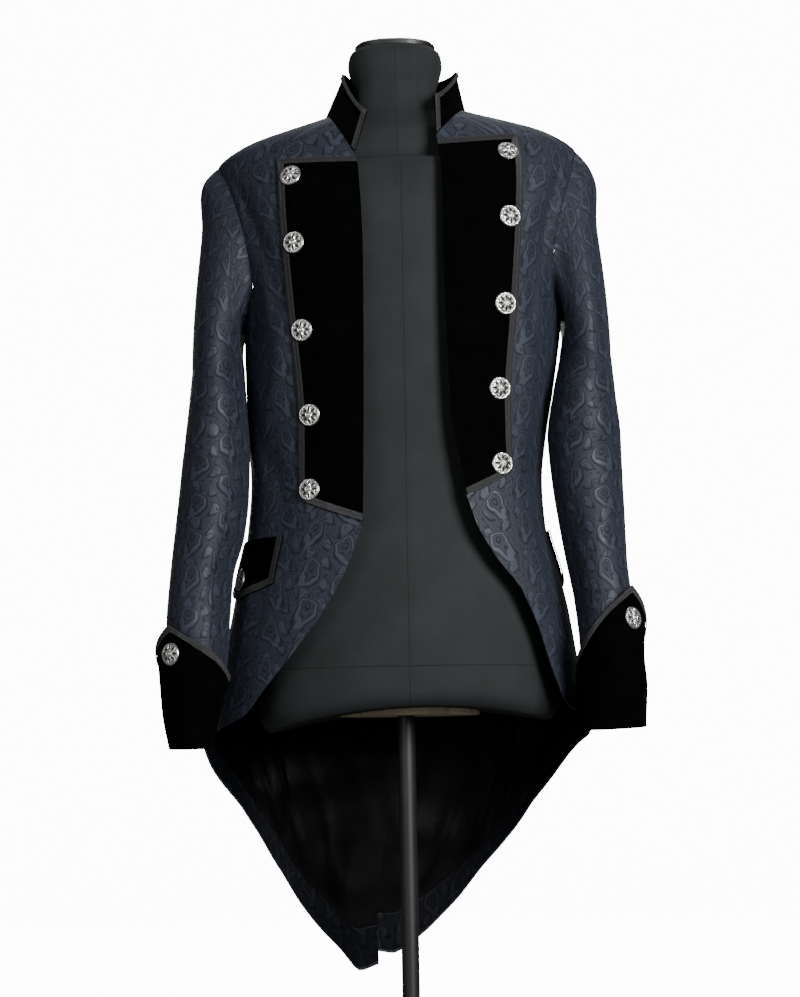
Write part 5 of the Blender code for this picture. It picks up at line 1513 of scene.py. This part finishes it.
class Graph:
    """The node graph of one material."""

    def __init__(self, name: str) -> None:
        """Makes the material with its Principled shader and its cloth coordinates.

        Args:
            name: the material's name.
        """
        self.material = bpy.data.materials.new(name)
        self.material.use_nodes = True
        self.tree = self.material.node_tree
        self.shader = self.tree.nodes["Principled BSDF"]

    def feed(self, socket: bpy.types.NodeSocket, value: Value | float | Sequence[float]) -> None:
        """Links a value to a socket, or sets it there.

        Args:
            socket: the input.
            value: what it gets.
        """
        if isinstance(value, Value):
            self.tree.links.new(value.out, socket)
        else:
            socket.default_value = value

    def add(self, kind: str, inputs: Sequence[Value | float | Sequence[float]] | dict[str | int, object] = (),
            out: int | str = 0, **settings: object) -> Value:
        """Any node.

        Args:
            kind: its type.
            inputs: its inputs in order, or by name or number.
            out: the output that is read.
            settings: its properties.

        Returns:
            The output.
        """
        node = self.tree.nodes.new(kind)
        for key, value in settings.items():
            setattr(node, key, value)
        for key, value in (inputs.items() if isinstance(inputs, dict) else enumerate(inputs)):
            self.feed(node.inputs[key], value)
        return Value(self, node.outputs[out])

    def coordinates(self) -> tuple[Value, Value, Value]:
        """The cloth's own coordinates in metres.

        Returns:
            The vector and its two numbers.
        """
        vector = self.add("ShaderNodeUVMap", uv_map="cloth")
        return vector, self.add("ShaderNodeSeparateXYZ", [vector]), self.add("ShaderNodeSeparateXYZ", [vector], 1)

    def noise(self, vector: Value, scale: float, detail: float = 2.0, rough: float = 0.5) -> Value:
        """Noise of a given scale.

        Args:
            vector: where it is read.
            scale: its scale.
            detail: its octaves.
            rough: how strong the finer ones are.

        Returns:
            0 to 1.
        """
        return self.add("ShaderNodeTexNoise",
                        {"Vector": vector, "Scale": scale, "Detail": detail, "Roughness": rough})

    def objects(self) -> Value:
        """The object's own coordinates.

        Returns:
            The vector.
        """
        return self.add("ShaderNodeTexCoord", out="Object")

    def mix(self, share: Value | float, first: Value | Sequence[float], second: Value | Sequence[float]) -> Value:
        """A colour between two.

        Args:
            share: 0 for the first.
            first: a colour.
            second: a colour.

        Returns:
            The colour.
        """
        return self.add("ShaderNodeMix", {0: share, 6: first, 7: second}, 2, data_type="RGBA")

    def bump(self, height: Value, distance: float, strength: float = 1.0) -> None:
        """Bumps the surface by a height.

        Args:
            height: 0 to 1.
            distance: metres for 1.
            strength: of the bump.
        """
        normal = self.add("ShaderNodeBump", {"Height": height, "Distance": distance, "Strength": strength})
        self.feed(self.shader.inputs["Normal"], normal)

    def finish(self, **sockets: Value | float | Sequence[float]) -> bpy.types.Material:
        """Sets the shader's sockets; a name's underscores stand for spaces.

        Args:
            sockets: values by name.

        Returns:
            The material.
        """
        for name, value in sockets.items():
            self.feed(self.shader.inputs[name.replace("_", " ")], value)
        return self.material


@dataclass(frozen=True)
class Brocade:
    """Figured cloth of paisley drops and scrolls, in half-drop repeat."""

    wide: float = 0.042
    tall: float = 0.046
    twill: float = 0.0010
    ground: tuple[float, ...] = (0.0165, 0.0205, 0.033, 1)
    figure: tuple[float, ...] = (0.030, 0.036, 0.055, 1)
    line: tuple[float, ...] = (0.0015, 0.0020, 0.0035, 1)
    slub: tuple[float, ...] = (0.075, 0.083, 0.110, 1)
    gloss: float = 0.26
    sheen: float = 0.09

    def drop(self, graph: Graph, u: Value, v: Value, shift: float) -> tuple[Value, Value]:
        """The field of bent drops: distance over (0.40 (0.62 - y)), 1 on a drop's outline.

        Args:
            graph: not used.
            u: along the repeat's width, in repeats.
            v: along its height.
            shift: moves the field by a share of a repeat.

        Returns:
            The field, and the turn round the drop's middle.
        """
        column = (u + shift).do("FLOOR")
        odd = column.do("PINGPONG", 1.0)
        x = ((u + shift).do("FRACT") - 0.5) * (odd * -2.0 + 1.0)
        y = (v + odd * 0.5 + shift).do("FRACT") - 0.5
        bent = x - y * y * 1.1 + 0.06
        distance = (bent * bent + y * y * 0.75).do("SQRT")
        return distance / ((y * -1.0 + 0.62) * 0.40 + 0.02), bent.do("ARCTAN2", y)

    def make(self) -> bpy.types.Material:
        """Builds the material.

        Returns:
            The material.
        """
        graph = Graph("brocade")
        vector, u, v = graph.coordinates()
        warp = graph.noise(vector, 26.0, 2.0) - 0.5
        weft = graph.noise(vector, 31.0, 2.0) - 0.5
        x, y = (u + warp * 0.016) / self.wide, (v + weft * 0.020) / self.tall
        field, turn = self.drop(graph, x, y, 0.0)
        small, _ = self.drop(graph, x * 1.9, y * 1.9, 0.37)
        petals = field + (turn * 7.0).do("COSINE") * 0.07
        lines = petals.line(1.0, 0.11).do("MAXIMUM", petals.line(0.62, 0.09)).do("MAXIMUM", field.line(0.25, 0.10))
        outside = field.step(1.25, 1.45)
        scroll = (graph.noise(vector, 55.0, 0.0) * 7.0).do("FRACT").line(0.5, 0.13)
        lines = lines.do("MAXIMUM", small.line(0.95, 0.15) * outside).do("MAXIMUM", scroll * outside * 0.8)
        inside = field.step(1.0, 0.92) * field.step(0.55, 0.68) + small.step(0.9, 0.7) * outside * 0.8
        patches = graph.noise(graph.objects(), 9.0, 3.0)
        colour = graph.mix(inside.do("MINIMUM", 1.0), self.ground, self.figure)
        colour = graph.mix(lines * (patches * 0.5 + 0.5), colour, self.line)
        thread = ((u + v) * (2 * np.pi / self.twill)).do("SINE")
        slub = graph.noise(vector, 900.0, 2.0)
        colour = graph.mix(slub.step(0.58, 0.85) * 0.55, colour, self.slub)
        graph.bump(lines * -0.16 + inside * 0.12 + thread * 0.10 + slub * 0.45, 0.00030, 0.8)
        return graph.finish(
            Base_Color=colour, Roughness=inside * -0.14 + (lines * 0.10 + 0.58),
            Sheen_Weight=self.sheen, Sheen_Roughness=0.40, Sheen_Tint=(0.55, 0.62, 0.78, 1),
            Specular_IOR_Level=self.gloss,
        )


def velvet() -> bpy.types.Material:
    """Black cotton velvet: near-black pile with a soft edge sheen and brushed patches.

    Returns:
        The material.
    """
    graph = Graph("velvet")
    vector, _, _ = graph.coordinates()
    brushed = graph.noise(vector, 38.0, 3.0, 0.6)
    pile = graph.noise(vector, 1600.0, 2.0)
    colour = graph.mix(brushed.step(0.35, 0.75), (0.0003, 0.0003, 0.0004, 1), (0.0010, 0.0010, 0.0014, 1))
    graph.bump(pile * 0.6 + brushed * 0.6, 0.0005, 0.5)
    return graph.finish(Base_Color=colour, Roughness=pile * 0.1 + 0.85, Sheen_Weight=0.007, Sheen_Roughness=0.30,
                        Sheen_Tint=(0.6, 0.62, 0.7, 1), Specular_IOR_Level=0.03)


def braid() -> bpy.types.Material:
    """Ribbed gimp: cords across the braid's length, tighter along its two edges.

    Returns:
        The material.
    """
    graph = Graph("braid")
    vector, u, v = graph.coordinates()
    across = v / BRAID_WIDE
    slant = ((u + (across - 0.5).do("ABSOLUTE") * 0.0016) * (2 * np.pi / 0.0017)).do("SINE")
    edge = (across - 0.5).do("ABSOLUTE").step(0.30, 0.46)
    fine = (u * (2 * np.pi / 0.0009)).do("SINE") * edge
    thread = graph.noise(vector, 1500.0, 2.0)
    rib = slant * 0.5 + 0.5
    colour = graph.mix(rib * 0.7 + thread * 0.3, (0.004, 0.004, 0.005, 1), (0.020, 0.020, 0.023, 1))
    graph.bump(rib * 0.8 + fine * 0.2 + thread * 0.3, 0.0006, 0.9)
    return graph.finish(Base_Color=colour, Roughness=thread * 0.2 + 0.48, Sheen_Weight=0.04, Sheen_Roughness=0.4)


def satin() -> bpy.types.Material:
    """Black lining satin: smooth and glossy, with a fine warp and slight unevenness.

    Returns:
        The material.
    """
    graph = Graph("satin")
    vector, u, _ = graph.coordinates()
    cloud = graph.noise(vector, 24.0, 3.0, 0.55)
    warp = (u * (2 * np.pi / 0.0006)).do("SINE")
    thread = graph.noise(vector, 1100.0, 1.0)
    colour = graph.mix(cloud.step(0.3, 0.8), (0.0012, 0.0012, 0.0016, 1), (0.0035, 0.0035, 0.0042, 1))
    graph.bump(cloud * 1.2 + warp * 0.05 + thread * 0.10, 0.0008, 0.6)
    return graph.finish(Base_Color=colour, Roughness=thread * 0.08 + (cloud * 0.12 + 0.24),
                        Specular_IOR_Level=0.06)


def silver() -> bpy.types.Material:
    """Cast silvered metal, bright on its ridges, its openings painted black as painted shade, since they aren't
    cut through.

    Returns:
        The material.
    """
    graph = Graph("silver")
    spot = graph.objects()
    depth = graph.add("ShaderNodeAttribute", out="Fac", attribute_name="shade")
    tarnish = graph.noise(spot, 420.0, 3.0)
    # openings painted near-black and not metallic: painted shade for the dark seen through them
    hole = depth.step(0.05, 0.45)
    metal = graph.mix(tarnish.step(0.40, 0.75), (0.86, 0.85, 0.82, 1), (0.50, 0.49, 0.47, 1))
    graph.bump(tarnish, 0.00012, 0.4)
    return graph.finish(Base_Color=graph.mix(hole, metal, (0.006, 0.006, 0.006, 1)), Metallic=hole * -1.0 + 1.0,
                        Roughness=tarnish * 0.15 + (hole * 0.4 + 0.20))


def form_cloth() -> bpy.types.Material:
    """The form's jersey cover: fine knit, stitched seams down the front and round the hips.

    Returns:
        The material.
    """
    graph = Graph("form_cloth")
    vector, u, v = graph.coordinates()
    knit = (u * (2 * np.pi / 0.0012)).do("SINE") * (v * (2 * np.pi / 0.0010)).do("SINE")
    wool = graph.noise(vector, 700.0, 3.0)
    cloud = graph.noise(vector, 16.0, 3.0)
    side = u.do("ABSOLUTE")
    seam = side.line(0.0, 0.0011).do("MAXIMUM", (v - 0.434).line(0.0, 0.0012))
    seam = seam.do("MAXIMUM", (side - COAT_RADIUS * np.pi / 2).line(0.0, 0.0011))
    stitch = ((u + v) * (2 * np.pi / 0.0032)).do("SINE").step(-0.2, 0.4)
    beside = (side - 0.0030).line(0.0, 0.0006) * stitch
    colour = graph.mix(cloud.step(0.25, 0.8), (0.0075, 0.0095, 0.0100, 1), (0.0125, 0.0160, 0.0165, 1))
    colour = graph.mix(wool.step(0.55, 0.8) * 0.4, colour, (0.026, 0.031, 0.031, 1))
    colour = graph.mix(seam * 0.7 + beside * 0.35, colour, (0.006, 0.008, 0.008, 1))
    graph.bump(knit * 0.15 + wool * 0.35 - seam * 1.4 - beside * 0.5, 0.0005, 0.7)
    return graph.finish(Base_Color=colour, Roughness=wool * 0.15 + 0.68, Sheen_Weight=0.04, Sheen_Roughness=0.5,
                        Sheen_Tint=(0.8, 0.88, 0.88, 1), Specular_IOR_Level=0.35)


def board() -> bpy.types.Material:
    """The form's underside board: pale wood with fine grain.

    Returns:
        The material.
    """
    graph = Graph("board")
    spot = graph.add("ShaderNodeMapping", {"Vector": graph.objects(), "Scale": (4.0, 60.0, 4.0)})
    grain = graph.noise(spot, 3.0, 4.0, 0.6)
    colour = graph.mix(grain.step(0.3, 0.7), (0.42, 0.33, 0.21, 1), (0.62, 0.52, 0.37, 1))
    graph.bump(grain, 0.0004, 0.4)
    return graph.finish(Base_Color=colour, Roughness=grain * 0.2 + 0.5)


def stand_paint() -> bpy.types.Material:
    """Black powder-coated steel with a slight orange-peel surface.

    Returns:
        The material.
    """
    graph = Graph("stand")
    spot = graph.objects()
    peel = graph.noise(spot, 900.0, 2.0)
    dust = graph.noise(spot, 12.0, 4.0)
    colour = graph.mix(dust.step(0.4, 0.8), (0.005, 0.005, 0.006, 1), (0.011, 0.011, 0.012, 1))
    graph.bump(peel, 0.0002, 0.5)
    return graph.finish(Base_Color=colour, Roughness=dust * 0.2 + 0.42, Coat_Weight=peel * 0.05 + 0.03)


class Studio:
    """Floor, backdrop, lights and camera."""

    EYE = Vector((-0.003, -3.2, 0.28))
    TARGET = Vector((-0.003, 0.0, 0.641))
    ROLL = np.radians(1.0)
    LENS = 2684 / 997 * 36

    def __init__(self) -> None:
        """Sets the studio up."""
        self.sweep()
        self.world()
        self.light("key", (1.5, -2.5, 1.25), 1.0, 132)
        self.light("fill", (-1.8, -2.6, 0.95), 1.4, 22)
        self.light("top", (0.2, 0.7, 2.7), 1.4, 12)
        self.light("back", (-0.5, 3.0, 1.2), 1.4, 20)
        self.camera()

    def sweep(self) -> None:
        """A floor that curves up behind into a backdrop: level, a quarter circle, then upright."""
        turn = np.linspace(0, np.pi / 2, 17)
        y = np.concatenate([[-6.0, 4.8], 4.8 + 0.8 * np.sin(turn), [5.6]])
        z = np.concatenate([[0.0, 0.0], 0.8 - 0.8 * np.cos(turn), [5.0]])
        x = np.array([-6.0, 6.0])[:, None]
        points = np.stack(np.broadcast_arrays(x, y, z), axis=-1)
        index = np.arange(len(y) - 1)
        faces = np.stack([index, index + len(y), index + len(y) + 1, index + 1], axis=1)
        mesh = bpy.data.meshes.new("sweep")
        mesh.from_pydata(points.reshape(-1, 3).tolist(), [], faces.tolist())
        mesh.shade_smooth()
        graph = Graph("sweep")
        grain = graph.noise(graph.objects(), 30.0, 3.0)
        colour = graph.mix(grain, (0.86, 0.86, 0.86, 1), (0.90, 0.90, 0.90, 1))
        mesh.materials.append(graph.finish(Base_Color=colour, Roughness=grain * 0.1 + 0.8,
                                           Emission_Color=(1, 1, 1, 1), Emission_Strength=13.0))
        floor = bpy.data.objects.new("sweep", mesh)
        floor.visible_diffuse = floor.visible_glossy = False
        bpy.context.scene.collection.objects.link(floor)

    def world(self) -> None:
        """A white, even sky."""
        world = bpy.data.worlds.new("studio")
        world.use_nodes = True
        background = world.node_tree.nodes["Background"]
        background.inputs["Color"].default_value = (1, 1, 1, 1)
        background.inputs["Strength"].default_value = 0.12
        bpy.context.scene.world = world

    def light(self, name: str, place: tuple[float, float, float], size: float, power: float) -> None:
        """A square soft light that looks at the middle of the coat.

        Args:
            name: its name.
            place: where.
            size: its side.
            power: in watts.
        """
        data = bpy.data.lights.new(name, "AREA")
        data.size, data.energy = size, power
        lamp = bpy.data.objects.new(name, data)
        lamp.location = place
        lamp.rotation_euler = (Vector((0, 0, 0.7)) - Vector(place)).to_track_quat("-Z", "Y").to_euler()
        bpy.context.scene.collection.objects.link(lamp)

    def camera(self) -> None:
        """The photo's camera: low, level with the tails, a long lens, rolled by one degree."""
        data = bpy.data.cameras.new("camera")
        data.sensor_width, data.lens = 36, self.LENS
        camera = bpy.data.objects.new("camera", data)
        forward = (self.TARGET - self.EYE).normalized()
        right = forward.cross(Vector((0, 0, 1))).normalized()
        up = right.cross(forward)
        right, up = (right * np.cos(self.ROLL) - up * np.sin(self.ROLL),
                     right * np.sin(self.ROLL) + up * np.cos(self.ROLL))
        matrix = Matrix((right, up, -forward)).transposed().to_4x4()
        matrix.translation = self.EYE
        camera.matrix_world = matrix
        bpy.context.scene.collection.objects.link(camera)
        bpy.context.scene.camera = camera


def lathe(profile: Sequence[tuple[float, float]], sides: int = 96) -> Array:
    """Rings round the origin's upright.

    Args:
        profile: radius and height of each ring.
        sides: points round.

    Returns:
        Rings of points.
    """
    turn = np.linspace(0, 2 * np.pi, sides, endpoint=False)
    return np.array([np.stack([r * np.cos(turn), r * np.sin(turn), 0 * turn + z], axis=1) for r, z in profile])


def main() -> None:
    """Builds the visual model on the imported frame."""
    logging.basicConfig(level=logging.INFO)
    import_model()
    materials = {
        Finish.BROCADE: Brocade().make(), Finish.VELVET: velvet(), Finish.BRAID: braid(), Finish.SATIN: satin(),
        Finish.SILVER: silver(), Finish.FORM: form_cloth(), Finish.BOARD: board(), Finish.STAND: stand_paint(),
    }
    # a darker copy of the brocade, painted shade for the tail's facing, which lies in the shadow inside the tail
    shadowed = Brocade(ground=(0.0030, 0.0036, 0.0052, 1), figure=(0.0060, 0.0070, 0.0100, 1),
                       line=(0.0008, 0.0010, 0.0016, 1), slub=(0.010, 0.011, 0.014, 1), gloss=0.06, sheen=0.01)
    maker = Wardrobe(materials, shadowed.make())
    halves = [HalfCoat(side) for side in (RIGHT, LEFT)]
    Stand(maker, halves)
    Coat(maker, halves)
    Studio()
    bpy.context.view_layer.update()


if __name__ == "__main__":
    main()
